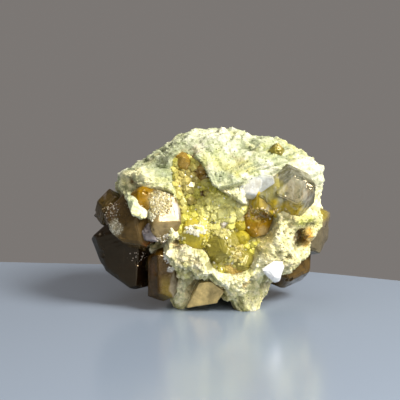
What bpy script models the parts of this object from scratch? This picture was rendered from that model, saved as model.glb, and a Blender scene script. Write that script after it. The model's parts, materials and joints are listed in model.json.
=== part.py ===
"""Grossular garnet in matrix: a fist-shaped block of pale skarn with garnet crystals sunk in it.

Lengths in the tables are millimetres, and MM turns them into Blender's metres at the end.
X runs to the right, Y away from the viewer and Z up. The origin lies on the ground, below the
middle of the whole specimen. The block, its crust of small crystals and every big garnet are
objects of their own, with a small clearance between neighbours.
"""

import math
import random

import bmesh
import bpy
import numpy as np
from mathutils import Matrix, Vector

MM = 0.001
GAP = 0.3  # clearance between two neighbouring pieces
GROUND = 0.8  # height in the tables at which the ground cuts the block flat
SHIFT = np.array([0.006, -0.415, -GROUND])  # puts the origin below the middle of the whole specimen

# ---------------------------------------------------------------- the block of matrix
BLOCK_MIDDLE = np.array([0.5, 0.0, 19.0])
BLOCK_FRONT, BLOCK_BACK = 13.6, 14.4  # half depths, before lumps and hollows
BLOCK_ROUND = 0.8  # 1 is an ellipse in section, and less is boxier
BLOCK_LEAN = 0.16  # how far the front face leans back for each millimetre of height
BLOCK_COLUMNS, BLOCK_ROWS = 60, 28
# The block's outline from the front, as (x, z), anticlockwise from the right.
OUTLINE = [
    (23.4, 19.0),
    (22.0, 22.8),
    (22.6, 27.0),
    (21.6, 30.0),
    (18.0, 32.2),
    (13.9, 34.2),
    (7.3, 35.4),
    (2.0, 36.8),
    (-2.8, 36.2),
    (-7.3, 34.1),
    (-11.4, 31.8),
    (-15.2, 29.6),
    (-18.7, 26.8),
    (-19.8, 24.7),
    (-17.4, 20.0),
    (-14.2, 14.0),
    (-11.2, 7.0),
    (-9.8, 3.2),
    (-5.2, 1.2),
    (1.5, 1.6),
    (7.0, 0.2),
    (10.0, 2.4),
    (13.4, 6.2),
    (17.6, 8.8),
    (20.6, 11.8),
    (22.4, 15.2),
]

# Lumps and recesses: name, centre, radii, how far the surface moves, and how much is plateau.
# Where they overlap their moves add up.
LUMPS = [
    ("roof over the hollow", (2.6, -10.0, 29.6), (7.5, 7.0, 3.6), (0.0, -2.6, -0.6), 0.3),
    ("roof corner", (-9.5, -7.0, 32.5), (5.0, 7.0, 3.2), (-0.3, -1.6, 0.3), 0.2),
    ("cap on the left crystals", (-14.5, -8.5, 28.0), (6.0, 7.0, 2.6), (-0.6, -2.0, 0.2), 0.3),
    ("bay for the left crystals", (-11.5, -11.0, 23.6), (5.4, 8.0, 2.9), (0.0, 3.2, 0.0), 0.3),
    ("shoulder at the right", (20.8, -3.0, 29.0), (4.0, 7.0, 4.6), (0.9, -1.2, 0.5), 0.2),
    ("white tongue", (6.0, -10.0, 24.2), (1.9, 7.0, 2.8), (0.0, -1.2, -0.4), 0.3),
    ("rim below the hollow", (-4.2, -13.0, 11.6), (7.0, 7.0, 4.2), (0.0, -2.2, 0.0), 0.3),
    ("rim lobe", (2.6, -13.0, 8.4), (4.0, 6.0, 2.0), (0.0, -1.6, 0.0), 0.2),
    ("bay under the rim", (-1.2, -12.0, 4.8), (5.0, 8.0, 3.8), (0.0, 4.8, 0.4), 0.4),
    ("bay between the left crystals", (-11.6, -12.0, 15.4), (4.0, 8.0, 3.4), (0.0, 4.4, 0.0), 0.4),
    ("bay for the left foot's crystal", (-9.6, -12.0, 8.6), (3.6, 8.0, 5.2), (0.0, 3.0, 0.0), 0.4),
    ("bay for the right crystals", (10.4, -12.0, 24.0), (5.4, 8.0, 3.8), (0.0, 4.2, 0.0), 0.35),
    ("bay beside it", (16.4, -10.0, 25.0), (5.6, 8.0, 4.0), (0.0, 2.6, 0.0), 0.3),
    ("band over the left crystals", (-16.6, -9.0, 23.6), (2.4, 8.0, 2.6), (0.0, -4.6, -0.4), 0.35),
    ("band, lower end", (-15.0, -10.0, 21.8), (2.1, 8.0, 2.4), (0.0, -4.6, -0.4), 0.3),
    ("block at the right", (15.2, -11.0, 12.4), (7.5, 7.0, 6.0), (0.3, -1.8, 0.0), 0.4),
    ("right foot", (7.4, -8.8, 1.8), (3.6, 4.2, 4.2), (0.0, -1.0, -2.2), 0.4),
    ("left foot", (-6.4, -6.6, 1.8), (2.5, 3.8, 3.6), (0.0, -0.2, -2.2), 0.35),
    ("back foot", (0.5, 8.2, 2.4), (9.0, 6.0, 5.0), (0.0, 1.0, -3.6), 0.5),
    ("arch between the feet", (1.4, -6.0, 0.8), (3.8, 12.0, 3.4), (0.0, 0.0, 2.6), 0.35),
    ("back rib", (-12.0, 11.0, 19.0), (3.0, 7.0, 7.0), (-0.2, 1.2, 0.0), 0.3),
    ("back step", (8.0, 14.0, 8.5), (9.0, 7.0, 2.6), (0.0, 1.4, -0.3), 0.3),
    ("back bulge", (6.5, 12.0, 25.5), (8.0, 7.0, 6.0), (0.0, 1.8, 0.0), 0.3),
    ("back hollow", (-1.5, 14.0, 15.0), (6.0, 7.0, 4.6), (0.0, -2.4, 0.0), 0.3),
    ("back ledge", (-9.0, 10.5, 29.5), (7.0, 7.0, 3.0), (0.0, 1.5, 0.5), 0.3),
    ("left side bay", (-18.5, 2.0, 12.0), (5.0, 6.0, 5.0), (1.6, 0.0, 0.0), 0.2),
]

# Pits, which don't add up: the deepest counts. Name, centre, radii, depth, plateau.
PITS = [
    ("pit in the right block", (18.1, -10.0, 15.0), (3.1, 9.0, 3.7), 4.0, 0.3),
    ("pit beside it", (14.6, -12.0, 12.6), (1.0, 8.0, 0.9), 1.6, 0.3),
    ("pit at the left", (-16.3, -8.0, 27.2), (1.5, 7.0, 1.4), 2.6, 0.3),
    ("pit in the rim", (-6.6, -14.0, 13.8), (1.8, 8.0, 1.3), 1.6, 0.2),
    ("pit low in the rim", (-3.6, -14.0, 10.0), (1.2, 8.0, 0.9), 1.3, 0.3),
]

LEDGE_STEP, LEDGE_DEPTH = 2.3, 0.55  # spacing and depth of the layers along the roof
WARP, WARP_SIZE = 0.9, 4.5  # how far and how coarsely outlines of lumps wander
ROUGH, ROUGH_SIZE = 0.85, 4.6  # the block's coarse roughness

# ---------------------------------------------------------------- the crust in the hollow
CRUST_MIDDLE = np.array([1.4, 19.6])
# The crust's outline from the front, as (x, z), anticlockwise from the right.
CRUST_OUTLINE = [
    (12.6, 19.4),
    (11.6, 21.6),
    (8.2, 21.8),
    (4.4, 24.2),
    (0.4, 26.6),
    (-2.6, 31.0),
    (-6.6, 32.4),
    (-8.2, 28.6),
    (-6.8, 23.6),
    (-7.2, 18.2),
    (-5.0, 15.2),
    (-1.0, 13.0),
    (0.6, 9.6),
    (4.6, 8.6),
    (7.6, 10.2),
    (9.2, 14.0),
    (11.6, 16.2),
]
# How deep the hollow lies at a few places, as (x, z, y).
HOLLOW_LEVELS = [
    (-5.5, 31.0, -6.2),
    (-1.5, 28.5, -6.6),
    (-5.0, 24.5, -8.6),
    (0.5, 23.5, -9.0),
    (6.0, 22.0, -9.6),
    (2.0, 19.5, -9.6),
    (-5.5, 17.0, -10.4),
    (1.5, 14.5, -10.0),
    (3.0, 9.8, -11.6),
    (7.0, 14.0, -9.0),
    (9.0, 19.0, -7.0),
    (12.2, 20.0, -5.6),
]
CRUST_THICK = 1.4
CRUST_COLUMNS, CRUST_RINGS = 32, 5
DRUSE_SPACING = 2.8
DRUSE_SIZES = (0.75, 1.3)  # face distance of the small crystals
DRUSE_RIM = 1.4  # how many times its own size a small crystal keeps off the outline
# The larger crystals in the crust are laid out like the big garnets below.
CRUST_GARNETS = [
    ((2.3, -9.8, 13.6), 3.6, (-0.5, -0.8, 0.3), (0.4, -0.1, 0.9), 1.0, 3),
    ((-3.6, -10.2, 16.6), 2.9, (-0.1, -0.7, 0.7), (0.6, 0.3, 0.3), 1.0, 5),
    ((5.9, -10.4, 11.2), 2.4, (0.1, -0.8, 0.5), (0.9, 0.3, 0.1), 1.0, 6),
    ((8.9, -7.9, 18.6), 3.0, (-0.15, -0.99, 0.1), (0.95, 0.0, 0.25), 1.0, 2),
    ((6.0, -9.4, 18.4), 1.3, (0.3, -0.9, 0.3), (0.1, 0.3, 1.0), 1.0, 8),
    ((6.2, -9.4, 16.0), 1.6, (-0.3, -0.9, 0.3), (0.1, 0.3, 1.0), 1.0, 9),
    ((-5.9, -6.0, 31.2), 1.7, (0.2, -0.9, -0.3), (1.0, 0.2, 0.3), 0.9, 1),
]

# ---------------------------------------------------------------- the big garnets
# One row for each crystal: centre, face distance, the way one rhomb looks, the crystal's axis
# that lies in that rhomb, the share of the face distance that rhomb keeps, and the seed of the
# small differences between the others (None is none). Crystals of one node are one solid.
GARNETS = {
    "garnet_lower_left": [
        ((-18.6, -5.0, 11.0), 7.0, (-0.22, -0.96, -0.06), (0.78, -0.1, -0.62), 0.5, None),
    ],
    "garnets_upper_left": [
        ((-20.4, -2.0, 20.2), 3.5, (0.39, -0.88, 0.29), (0.18, -0.23, -0.96), 0.976, 4),
        ((-16.0, -6.4, 18.5), 5.7, (-0.26, -0.96, -0.06), (-0.63, 0.22, -0.75), 1.04, 10),
        ((-9.6, -10.8, 20.4), 5.4, (-0.44, -0.89, -0.11), (-0.11, -0.07, 0.99), 1.09, 1),
        ((-13.8, -9.6, 23.6), 2.6, (0.2, -0.98, 0.1), (0.8, 0.16, 0.58), 0.9, 5),
        ((-12.4, -11.6, 17.2), 1.9, (0.0, -0.97, -0.2), (0.6, 0.1, 0.7), 1.0, 7),
    ],
    "garnet_left_foot": [
        ((-9.8, -9.6, 8.2), 4.8, (0.15, -0.99, 0.03), (0.81, 0.12, 0.58), 1.0, 12),
    ],
    "garnets_upper_right": [
        ((16.4, -8.6, 25.2), 4.3, (0.15, -0.95, 0.25), (-0.2, 0.2, 1.0), 0.95, 6),
        ((10.9, -9.6, 26.0), 2.6, (-0.3, -0.9, 0.3), (-0.5, 0.2, 0.9), 0.7, 4),
        ((7.9, -9.6, 26.4), 2.4, (0.0, -0.95, 0.3), (-0.4, 0.2, 0.9), 0.7, 9),
        ((13.2, -9.4, 24.4), 3.4, (-0.2, -0.95, 0.2), (0.0, 0.1, 1.0), 1.0, 7),
        ((10.6, -9.2, 22.8), 2.9, (0.0, -0.95, 0.2), (0.8, 0.1, 0.5), 1.0, 3),
    ],
    "garnet_right_edge": [
        ((19.4, 1.4, 15.6), 4.9, (0.15, -0.98, -0.12), (0.84, 0.06, 0.53), 1.04, 5),
    ],
    "garnet_lower_right": [
        ((15.2, 1.4, 9.6), 5.5, (-0.32, -0.93, 0.18), (-0.8, 0.16, -0.58), 1.0, 4),
    ],
    "garnet_underside": [
        ((-1.0, -9.6, 4.8), 5.4, (0.0, -0.95, -0.25), (0.35, 0.1, 1.0), 0.5, None),
    ],
    "garnet_small_top": [
        ((13.4, -5.2, 33.2), 1.3, (0.2, -0.8, 0.5), (1.0, 0.2, 0.0), 1.0, 2),
    ],
    "garnet_back_upper": [
        ((-7.5, 10.5, 23.0), 5.6, (-0.2, 0.95, 0.2), (0.3, 0.1, 1.0), 0.9, 3),
    ],
    "garnets_back_middle": [
        ((6.0, 11.4, 14.4), 4.6, (0.3, 0.9, 0.1), (0.9, -0.3, 0.2), 0.95, 9),
        ((11.4, 10.8, 18.4), 3.6, (0.5, 0.8, 0.2), (0.2, -0.2, 0.9), 1.0, 11),
    ],
    "garnet_back_left": [
        ((-14.6, 7.6, 13.4), 4.2, (-0.7, 0.7, 0.0), (0.1, 0.1, 1.0), 1.0, 2),
    ],
    "garnet_back_top": [
        ((10.8, 11.4, 27.4), 3.5, (0.3, 0.7, 0.6), (0.9, -0.3, 0.0), 1.0, 6),
    ],
}
# Extra flat faces of the crystals that grew least evenly: the way each looks, its distance.
EXTRA_FACES = {
    ("garnets_upper_left", 1): [
        ((-0.67, -0.10, -0.73), 4.4),
        ((-0.55, -0.62, 0.55), 4.8),
    ],
    ("garnet_underside", 0): [
        ((-0.90, 0.0, 0.43), 2.4),
        ((-0.07, 0.0, 1.0), 2.4),
        ((0.63, 0.0, 0.78), 2.5),
        ((0.88, 0.0, -0.48), 2.9),
        ((0.17, 0.0, -0.99), 2.5),
        ((0.0, 1.0, 0.0), 5.0),
    ],
    ("garnet_left_foot", 0): [
        ((0.15, -0.99, 0.03), 2.9),
        ((-0.78, -0.62, 0.0), 2.8),
        ((0.93, -0.36, 0.0), 2.8),
        ((-0.93, 0.36, 0.0), 3.0),
    ],
    ("garnet_lower_left", 0): [
        ((-0.72, 0.25, 0.69), 6.8),
        ((-0.93, 0.10, -0.36), 4.3),
        ((-0.85, 0.10, -0.52), 4.05),
        ((-0.55, 0.05, -0.84), 3.95),
        ((0.20, -0.20, -0.98), 7.1),
        ((-0.75, -0.60, -0.25), 4.35),
        ((-0.55, -0.65, -0.52), 4.3),
        ((0.80, -0.60, -0.10), 5.4),
    ],
    ("garnets_upper_left", 2): [
        ((0.35, -0.85, -0.40), 3.1),
        ((0.36, -0.80, 0.48), 2.3),
        ((0.08, -0.67, 0.74), 3.3),
        ((-0.35, -0.75, 0.50), 3.2),
        ((0.90, 0.10, -0.35), 3.4),
        ((0.64, -0.10, -0.77), 3.9),
        ((-0.78, -0.10, -0.62), 4.0),
        ((-1.00, -0.30, 0.10), 3.2),
        ((0.96, -0.10, 0.28), 3.2),
        ((0.30, 0.10, 0.95), 4.6),
    ],
}
# Which pieces give way, with the usual clearance, to the crystals of another that reach them.
GIVES_WAY = {
    "garnets_upper_left": ["matrix", "cavity_crust", "garnet_lower_left"],
    "garnets_upper_right": ["matrix", "cavity_crust"],
    "garnet_right_edge": ["matrix", "garnet_lower_right"],
}
BEVEL_FACES = 1.115  # distance of the narrow faces between the rhombs, 1.155 would only touch
BEVEL_LEAST = 2.0  # crystals with a smaller face distance have no narrow faces

CALCITE_MIDDLE = (12.7, -13.7, 9.7)
CALCITE_RADII = (1.5, 2.1, 2.6)

# Colour and roughness of each object.
LOOKS = {
    "matrix": ((0.80, 0.78, 0.56, 1.0), 0.9),
    "cavity_crust": ((0.60, 0.57, 0.20, 1.0), 0.35),
    "calcite_crystal": ((0.95, 0.95, 0.92, 1.0), 0.3),
    "garnet_lower_left": ((0.05, 0.035, 0.025, 1.0), 0.15),
    "garnets_upper_left": ((0.16, 0.14, 0.09, 1.0), 0.2),
    "garnet_left_foot": ((0.26, 0.15, 0.04, 1.0), 0.15),
    "garnets_upper_right": ((0.42, 0.40, 0.30, 1.0), 0.2),
    "garnet_right_edge": ((0.24, 0.17, 0.08, 1.0), 0.2),
    "garnet_lower_right": ((0.20, 0.16, 0.10, 1.0), 0.2),
    "garnet_underside": ((0.45, 0.36, 0.25, 1.0), 0.25),
    "garnet_small_top": ((0.34, 0.30, 0.16, 1.0), 0.2),
    "garnet_back_upper": ((0.07, 0.05, 0.03, 1.0), 0.15),
    "garnets_back_middle": ((0.15, 0.10, 0.05, 1.0), 0.2),
    "garnet_back_left": ((0.28, 0.17, 0.05, 1.0), 0.15),
    "garnet_back_top": ((0.18, 0.14, 0.07, 1.0), 0.2),
}


# ---------------------------------------------------------------- noise
def cell_value(cells, seed):
    """A repeatable value from -1 to 1 for each row of whole numbers (x, y, z)."""
    x, y, z = (cells[..., k].astype(np.int64) for k in range(3))
    n = (x * 374761393 + y * 668265263 + z * 1440662683 + seed * 974634777) & 0xFFFFFFFF
    n = ((n ^ (n >> 13)) * 1274126177) & 0xFFFFFFFF
    n = ((n ^ (n >> 16)) * 2246822519) & 0xFFFFFFFF
    return ((n ^ (n >> 15)) & 0xFFFFFF) / float(0x7FFFFF) - 1.0


def noise(points, size, seed):
    """Smooth noise from -1 to 1 whose bumps are about one size across."""
    p = points / size
    low = np.floor(p)
    t = p - low
    t = t * t * t * (t * (t * 6 - 15) + 10)
    total = 0.0
    for corner in np.ndindex(2, 2, 2):
        corner = np.array(corner)
        weight = np.prod(np.where(corner == 1, t, 1 - t), axis=-1)
        total = total + weight * cell_value(low + corner, seed)
    return total


def rough(points, size, seed, octaves=3):
    """Noise of several sizes, each half as wide and half as strong as the one before."""
    return sum(noise(points, size / 2**k, seed + k) / 2**k for k in range(octaves))


def noise_vectors(points, size, seed):
    """Three noises that don't match, as one vector at each point."""
    return np.stack([noise(points, size, seed + 31 * k) for k in range(3)], axis=-1)


def smoothstep(low, high, value):
    """0 up to low, 1 from high, and a smooth ramp between them."""
    t = np.clip((value - low) / (high - low), 0.0, 1.0)
    return t * t * (3 - 2 * t)


# ---------------------------------------------------------------- the block
def polar_outline(outline, middle, angles):
    """Radius at each angle of a smooth closed curve through the outline's points."""
    points = np.array(outline) - middle
    knots = np.arctan2(points[:, 1], points[:, 0])
    radii = np.hypot(points[:, 0], points[:, 1])
    order = np.argsort(knots)
    knots, radii = knots[order], radii[order]
    knots = np.concatenate([knots - 2 * np.pi, knots, knots + 2 * np.pi])
    radii = np.tile(radii, 3)
    angles = (angles + np.pi) % (2 * np.pi) - np.pi
    i = np.clip(np.searchsorted(knots, angles) - 1, 1, len(knots) - 3)
    step = knots[i + 1] - knots[i]
    t = (angles - knots[i]) / step
    slope_in = (radii[i + 1] - radii[i - 1]) / (knots[i + 1] - knots[i - 1]) * step
    slope_out = (radii[i + 2] - radii[i]) / (knots[i + 2] - knots[i]) * step
    return (
        radii[i] * (1 + 2 * t) * (1 - t) ** 2
        + slope_in * t * (1 - t) ** 2
        + radii[i + 1] * t * t * (3 - 2 * t)
        - slope_out * t * t * (1 - t)
    )


def falloff(points, centre, radii, plateau):
    """1 inside the plateau's share of an ellipsoid, falling smoothly to 0 at its surface."""
    away = np.linalg.norm((points - np.array(centre)) / np.array(radii), axis=-1)
    return 1.0 - smoothstep(plateau, 1.0, away)


def block_surface(around, across):
    """Points of the block for angles around its outline, and from front (-90) to back (90 degrees).

    The outline shrinks towards the middle while the depth grows, as on a rounded box. Lumps and
    hollows then move the surface, layers step its roof and noise roughens it.
    """
    radius = polar_outline(OUTLINE, BLOCK_MIDDLE[[0, 2]], around)
    inward = np.abs(np.cos(across)) ** BLOCK_ROUND
    depth = np.sign(np.sin(across)) * np.abs(np.sin(across)) ** BLOCK_ROUND
    half = np.where(across < 0, BLOCK_FRONT, BLOCK_BACK)
    start = BLOCK_MIDDLE + np.stack(
        [radius * inward * np.cos(around), depth * half, radius * inward * np.sin(around)],
        axis=-1,
    )
    start[..., 1] += BLOCK_LEAN * (start[..., 2] - BLOCK_MIDDLE[2])
    outward = start - BLOCK_MIDDLE
    outward = outward / np.linalg.norm(outward, axis=-1, keepdims=True)
    wander = start + WARP * noise_vectors(start, WARP_SIZE, 11)
    points = start.copy()
    for _, centre, radii, move, plateau in LUMPS:
        points += falloff(wander, centre, radii, plateau)[..., None] * np.array(move)
    depths = [falloff(wander, c, r, p) * d for _, c, r, d, p in PITS]
    points[..., 1] += np.max(depths, axis=0)
    level = (points[..., 2] - 0.22 * points[..., 0]) / LEDGE_STEP + 0.5 * noise(start, 7.0, 41)
    step = smoothstep(0.0, 0.35, level - np.floor(level)) - 0.5
    roof = smoothstep(23.0, 29.0, start[..., 2])
    points += outward * (roof * LEDGE_DEPTH * step)[..., None]
    points += outward * (ROUGH * rough(start, ROUGH_SIZE, 71))[..., None]
    return sink_hollow(points)


def hollow_level(x, z):
    """The depth y of the hollow's floor: a smooth blend of HOLLOW_LEVELS, nearest ones first."""
    total, weights = 0.0, 0.0
    for at_x, at_z, y in HOLLOW_LEVELS:
        weight = 1.0 / ((x - at_x) ** 2 + (z - at_z) ** 2 + 2.0) ** 1.5
        total, weights = total + weight * y, weights + weight
    return total / weights


def sink_hollow(points):
    """Push front points down to the hollow's floor inside the crust's outline, with a soft rim."""
    x, z = points[..., 0] - CRUST_MIDDLE[0], points[..., 2] - CRUST_MIDDLE[1]
    share = np.hypot(x, z) / polar_outline(CRUST_OUTLINE, CRUST_MIDDLE, np.arctan2(z, x))
    inside = (1.0 - smoothstep(0.92, 1.12, share)) * (points[..., 1] < 0.0)
    floor = hollow_level(points[..., 0], points[..., 2])
    points[..., 1] += inside * np.maximum(floor - points[..., 1], 0.0)
    return points


def make_block():
    """The block as a closed mesh: rings from the front pole to the back pole."""
    around = np.arange(BLOCK_COLUMNS) * 2 * math.pi / BLOCK_COLUMNS
    across = np.linspace(-math.pi / 2, math.pi / 2, BLOCK_ROWS)[1:-1]
    grid = block_surface(*np.broadcast_arrays(around[None, :], across[:, None]))
    poles = block_surface(np.zeros(2), np.array([-math.pi / 2, math.pi / 2]))
    return closed_grid(grid, poles[0], poles[1])


def closed_grid(grid, first, last):
    """A bmesh of rings of points, closed at both ends by a fan. Ring 0 is next to first."""
    rings, columns = grid.shape[:2]
    bm = bmesh.new()
    rows = [[bm.verts.new(Vector(p * MM)) for p in ring] for ring in grid + SHIFT]
    start = bm.verts.new(Vector((first + SHIFT) * MM))
    end = bm.verts.new(Vector((last + SHIFT) * MM))
    for j in range(columns):
        k = (j + 1) % columns
        bm.faces.new((start, rows[0][j], rows[0][k]))
        bm.faces.new((end, rows[-1][k], rows[-1][j]))
        for i in range(rings - 1):
            bm.faces.new((rows[i][j], rows[i + 1][j], rows[i + 1][k], rows[i][k]))
    bmesh.ops.triangulate(bm, faces=bm.faces[:])
    bmesh.ops.recalc_face_normals(bm, faces=bm.faces[:])
    return bm


# ---------------------------------------------------------------- crystals
def family(*kinds):
    """Unit normals of every face that has one of these shapes, with all signs and orders."""
    found = set()
    for kind in kinds:
        for a in (0, 1, 2):
            for b in (0, 1, 2):
                for c in (0, 1, 2):
                    if sorted((a, b, c)) == [0, 1, 2]:
                        for s in np.ndindex(2, 2, 2):
                            n = (kind[a], kind[b], kind[c])
                            found.add(tuple(v * (1 - 2 * q) if v else 0 for v, q in zip(n, s)))
    return [Vector(n).normalized() for n in sorted(found)]


RHOMBS = family((1, 1, 0))
TRAPEZOIDS = family((2, 1, 1))


def turn(face, axis):
    """The rotation that looks one rhomb along face and lays the crystal's axis in it along axis."""
    face = Vector(face).normalized()
    axis = Vector(axis)
    axis = (axis - face * axis.dot(face)).normalized()
    own_face, own_axis = Vector((1, 1, 0)).normalized(), Vector((0, 0, 1))
    own = Matrix((own_face, own_axis, own_face.cross(own_axis))).transposed()
    aim = Matrix((face, axis, face.cross(axis))).transposed()
    return aim @ own.transposed()


def cut_by_planes(centre, planes, reach):
    """A convex solid: a cube cut by every plane (direction from the centre, distance from it)."""
    bm = bmesh.new()
    bmesh.ops.create_cube(bm, size=2 * reach * MM)
    for normal, distance in planes:
        cut = bmesh.ops.bisect_plane(
            bm,
            geom=bm.verts[:] + bm.edges[:] + bm.faces[:],
            plane_co=normal * distance * MM,
            plane_no=normal,
            clear_outer=True,
        )
        rim = [e for e in cut["geom_cut"] if isinstance(e, bmesh.types.BMEdge)]
        if rim:
            bmesh.ops.contextual_create(bm, geom=rim)
    bmesh.ops.remove_doubles(bm, verts=bm.verts[:], dist=0.02 * MM)
    bmesh.ops.dissolve_degenerate(bm, edges=bm.edges[:], dist=0.01 * MM)
    bmesh.ops.translate(bm, vec=Vector((np.array(centre) + SHIFT) * MM), verts=bm.verts[:])
    bmesh.ops.recalc_face_normals(bm, faces=bm.faces[:])
    return bm


def garnet(centre, size, face, axis, front, seed, extra=(), grow=0.0):
    """A rhombic dodecahedron, slightly uneven. All but small ones have narrow faces at their edges."""
    uneven = random.Random(seed) if seed is not None else None
    rotation = turn(face, axis)
    planes = []
    for normal in RHOMBS:
        distance = size * (uneven.uniform(0.93, 1.05) if uneven else 1.0)
        if normal.dot(Vector((1, 1, 0))) > 1.4:
            distance = size * front
        planes.append((rotation @ normal, distance + grow))
    if size > BEVEL_LEAST:
        planes += [(rotation @ normal, size * BEVEL_FACES + grow) for normal in TRAPEZOIDS]
    planes += [(Vector(way).normalized(), distance + grow) for way, distance in extra]
    return cut_by_planes(centre, planes, 3 * size)


def crust_rings(grow):
    """Rings of (x, z) from the middle of the crust to its outline, pushed out by grow."""
    angles = np.arange(CRUST_COLUMNS) * 2 * math.pi / CRUST_COLUMNS
    radius = polar_outline(CRUST_OUTLINE, CRUST_MIDDLE, angles) + grow
    shares = np.arange(1, CRUST_RINGS + 1) / CRUST_RINGS
    reach = shares[:, None] * radius
    x = CRUST_MIDDLE[0] + reach * np.cos(angles)
    z = CRUST_MIDDLE[1] + reach * np.sin(angles)
    return x, z


def crust_solid(grow, front):
    """The crust's plate, or with a front depth the room it needs with everything before it."""
    x, z = crust_rings(grow)
    floor = hollow_level(x, z)
    back = np.stack([x, floor + CRUST_THICK + grow, z], axis=-1)
    middle_y = hollow_level(*CRUST_MIDDLE) + CRUST_THICK + grow
    back_middle = np.array([CRUST_MIDDLE[0], middle_y, CRUST_MIDDLE[1]])
    near = floor + 0.2 * rough(np.stack([x, floor, z], axis=-1), 2.6, 301, 2)
    near = near if front is None else np.full_like(x, front)
    face = np.stack([x, near, z], axis=-1)
    face_middle = np.array([CRUST_MIDDLE[0], near[0].mean(), CRUST_MIDDLE[1]])
    return closed_grid(np.concatenate([back, face[::-1]]), back_middle, face_middle)


def druse():
    """Small garnets on a jittered triangular grid over the crust, all in one mesh."""
    chance = random.Random(7)
    whole = bmesh.new()
    around = np.linspace(0, 2 * math.pi, 200)
    outline = polar_outline(CRUST_OUTLINE, CRUST_MIDDLE, around)
    outline_x, outline_z = outline * np.cos(around), outline * np.sin(around)
    for row in range(-9, 10):
        for column in range(-9, 10):
            x = (column + 0.5 * (row % 2)) * DRUSE_SPACING + chance.uniform(-0.5, 0.5)
            z = row * DRUSE_SPACING * 0.87 + chance.uniform(-0.5, 0.5)
            size = chance.uniform(*DRUSE_SIZES)
            way = [chance.gauss(0, 1) for _ in range(6)]
            rim = float(polar_outline(CRUST_OUTLINE, CRUST_MIDDLE, np.array(math.atan2(z, x))))
            to_outline = np.hypot(outline_x - x, outline_z - z).min()
            if math.hypot(x, z) > rim or to_outline < DRUSE_RIM * size:
                continue
            x, z = x + CRUST_MIDDLE[0], z + CRUST_MIDDLE[1]
            y = float(hollow_level(x, z)) + CRUST_THICK - 1.45 * size
            planes = [(turn(way[:3], way[3:]) @ n, size) for n in RHOMBS]
            crystal = cut_by_planes((x, y, z), planes, 3 * size)
            mesh = bpy.data.meshes.new("small garnet")
            crystal.to_mesh(mesh)
            crystal.free()
            whole.from_mesh(mesh)
            bpy.data.meshes.remove(mesh)
    return whole


def grain(grow=0.0):
    """The grain of calcite: a lump of flat cleavage faces that touch an ellipsoid."""
    chance = random.Random(4)
    planes = []
    for _ in range(16):
        way = Vector([chance.gauss(0, 1) for _ in range(3)]).normalized()
        reach = math.sqrt(sum((w * r) ** 2 for w, r in zip(way, CALCITE_RADII)))
        planes.append((way, reach * chance.uniform(0.85, 1.0) + grow))
    return cut_by_planes(CALCITE_MIDDLE, planes, 3 * max(CALCITE_RADII))


# ---------------------------------------------------------------- objects
def add(name, bm, look=None):
    """An object of this mesh. One without a look is a tool, and isn't part of the specimen."""
    mesh = bpy.data.meshes.new(name)
    bm.to_mesh(mesh)
    bm.free()
    made = bpy.data.objects.new(name, mesh)
    bpy.context.scene.collection.objects.link(made)
    if look:
        mesh.materials.append(material(name, *look))
    else:
        made.hide_render = True
        made.display_type = "WIRE"
    return made


def material(name, colour, roughness):
    """A plain material of this colour and roughness."""
    made = bpy.data.materials.new(name)
    made.use_nodes = True
    shader = made.node_tree.nodes["Principled BSDF"]
    shader.inputs["Base Color"].default_value = colour
    shader.inputs["Roughness"].default_value = roughness
    shader.inputs["Metallic"].default_value = 0.0
    return made


def boolean(target, tool, operation):
    """Join the tool to the target, or cut it away."""
    made = target.modifiers.new(f"{operation.lower()} {tool.name}", "BOOLEAN")
    made.operation = operation
    made.solver = "EXACT"
    made.object = tool
    return made


def ground():
    """A slab whose top is the ground. It cuts the block's feet flat."""
    bm = bmesh.new()
    bmesh.ops.create_cube(bm, size=1.0)
    bmesh.ops.scale(bm, vec=(80 * MM, 80 * MM, 10 * MM), verts=bm.verts[:])
    top = Vector((0.0, 0.0, (GROUND + SHIFT[2] - 5.0) * MM))
    bmesh.ops.translate(bm, vec=top, verts=bm.verts[:])
    return bm


def make_garnets():
    """Every big garnet, and with it the tools that cut its room in the pieces around it."""
    sockets = {}
    for name, crystals in GARNETS.items():
        whole = None
        sockets[name] = []
        for k, crystal in enumerate(crystals):
            extra = EXTRA_FACES.get((name, k), ())
            sockets[name].append(add(f"{name}_socket_{k}", garnet(*crystal, extra, GAP)))
            if whole is None:
                whole = add(name, garnet(*crystal, extra), LOOKS[name])
            else:
                boolean(whole, add(f"{name}_grown_{k}", garnet(*crystal, extra)), "UNION")
    for name, tools in sockets.items():
        for target in GIVES_WAY.get(name, ["matrix"]):
            for tool in tools:
                boolean(bpy.data.objects[target], tool, "DIFFERENCE")


def main():
    for old in list(bpy.data.objects):
        bpy.data.objects.remove(old, do_unlink=True)
    block = add("matrix", make_block(), LOOKS["matrix"])
    boolean(block, add("ground", ground()), "DIFFERENCE").use_self = True
    boolean(block, add("hollow", crust_solid(GAP, -30.0)), "DIFFERENCE")
    crust = add("cavity_crust", crust_solid(0.0, None), LOOKS["cavity_crust"])
    boolean(crust, add("druse", druse()), "UNION").use_self = True
    for k, crystal in enumerate(CRUST_GARNETS):
        boolean(crust, add(f"crust_garnet_{k}", garnet(*crystal)), "UNION")
        boolean(block, add(f"crust_socket_{k}", garnet(*crystal, grow=GAP)), "DIFFERENCE")
    add("calcite_crystal", grain(), LOOKS["calcite_crystal"])
    boolean(block, add("calcite_socket", grain(GAP)), "DIFFERENCE")
    make_garnets()


main()
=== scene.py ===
"""Grossular garnet in matrix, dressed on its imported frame.

Lengths in the tables are millimetres, in the same table frame as the part's: SHIFT and MM turn
them into the frame's metres. X runs to the right, Y away from the viewer and Z up.
"""

import json
import random

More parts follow.
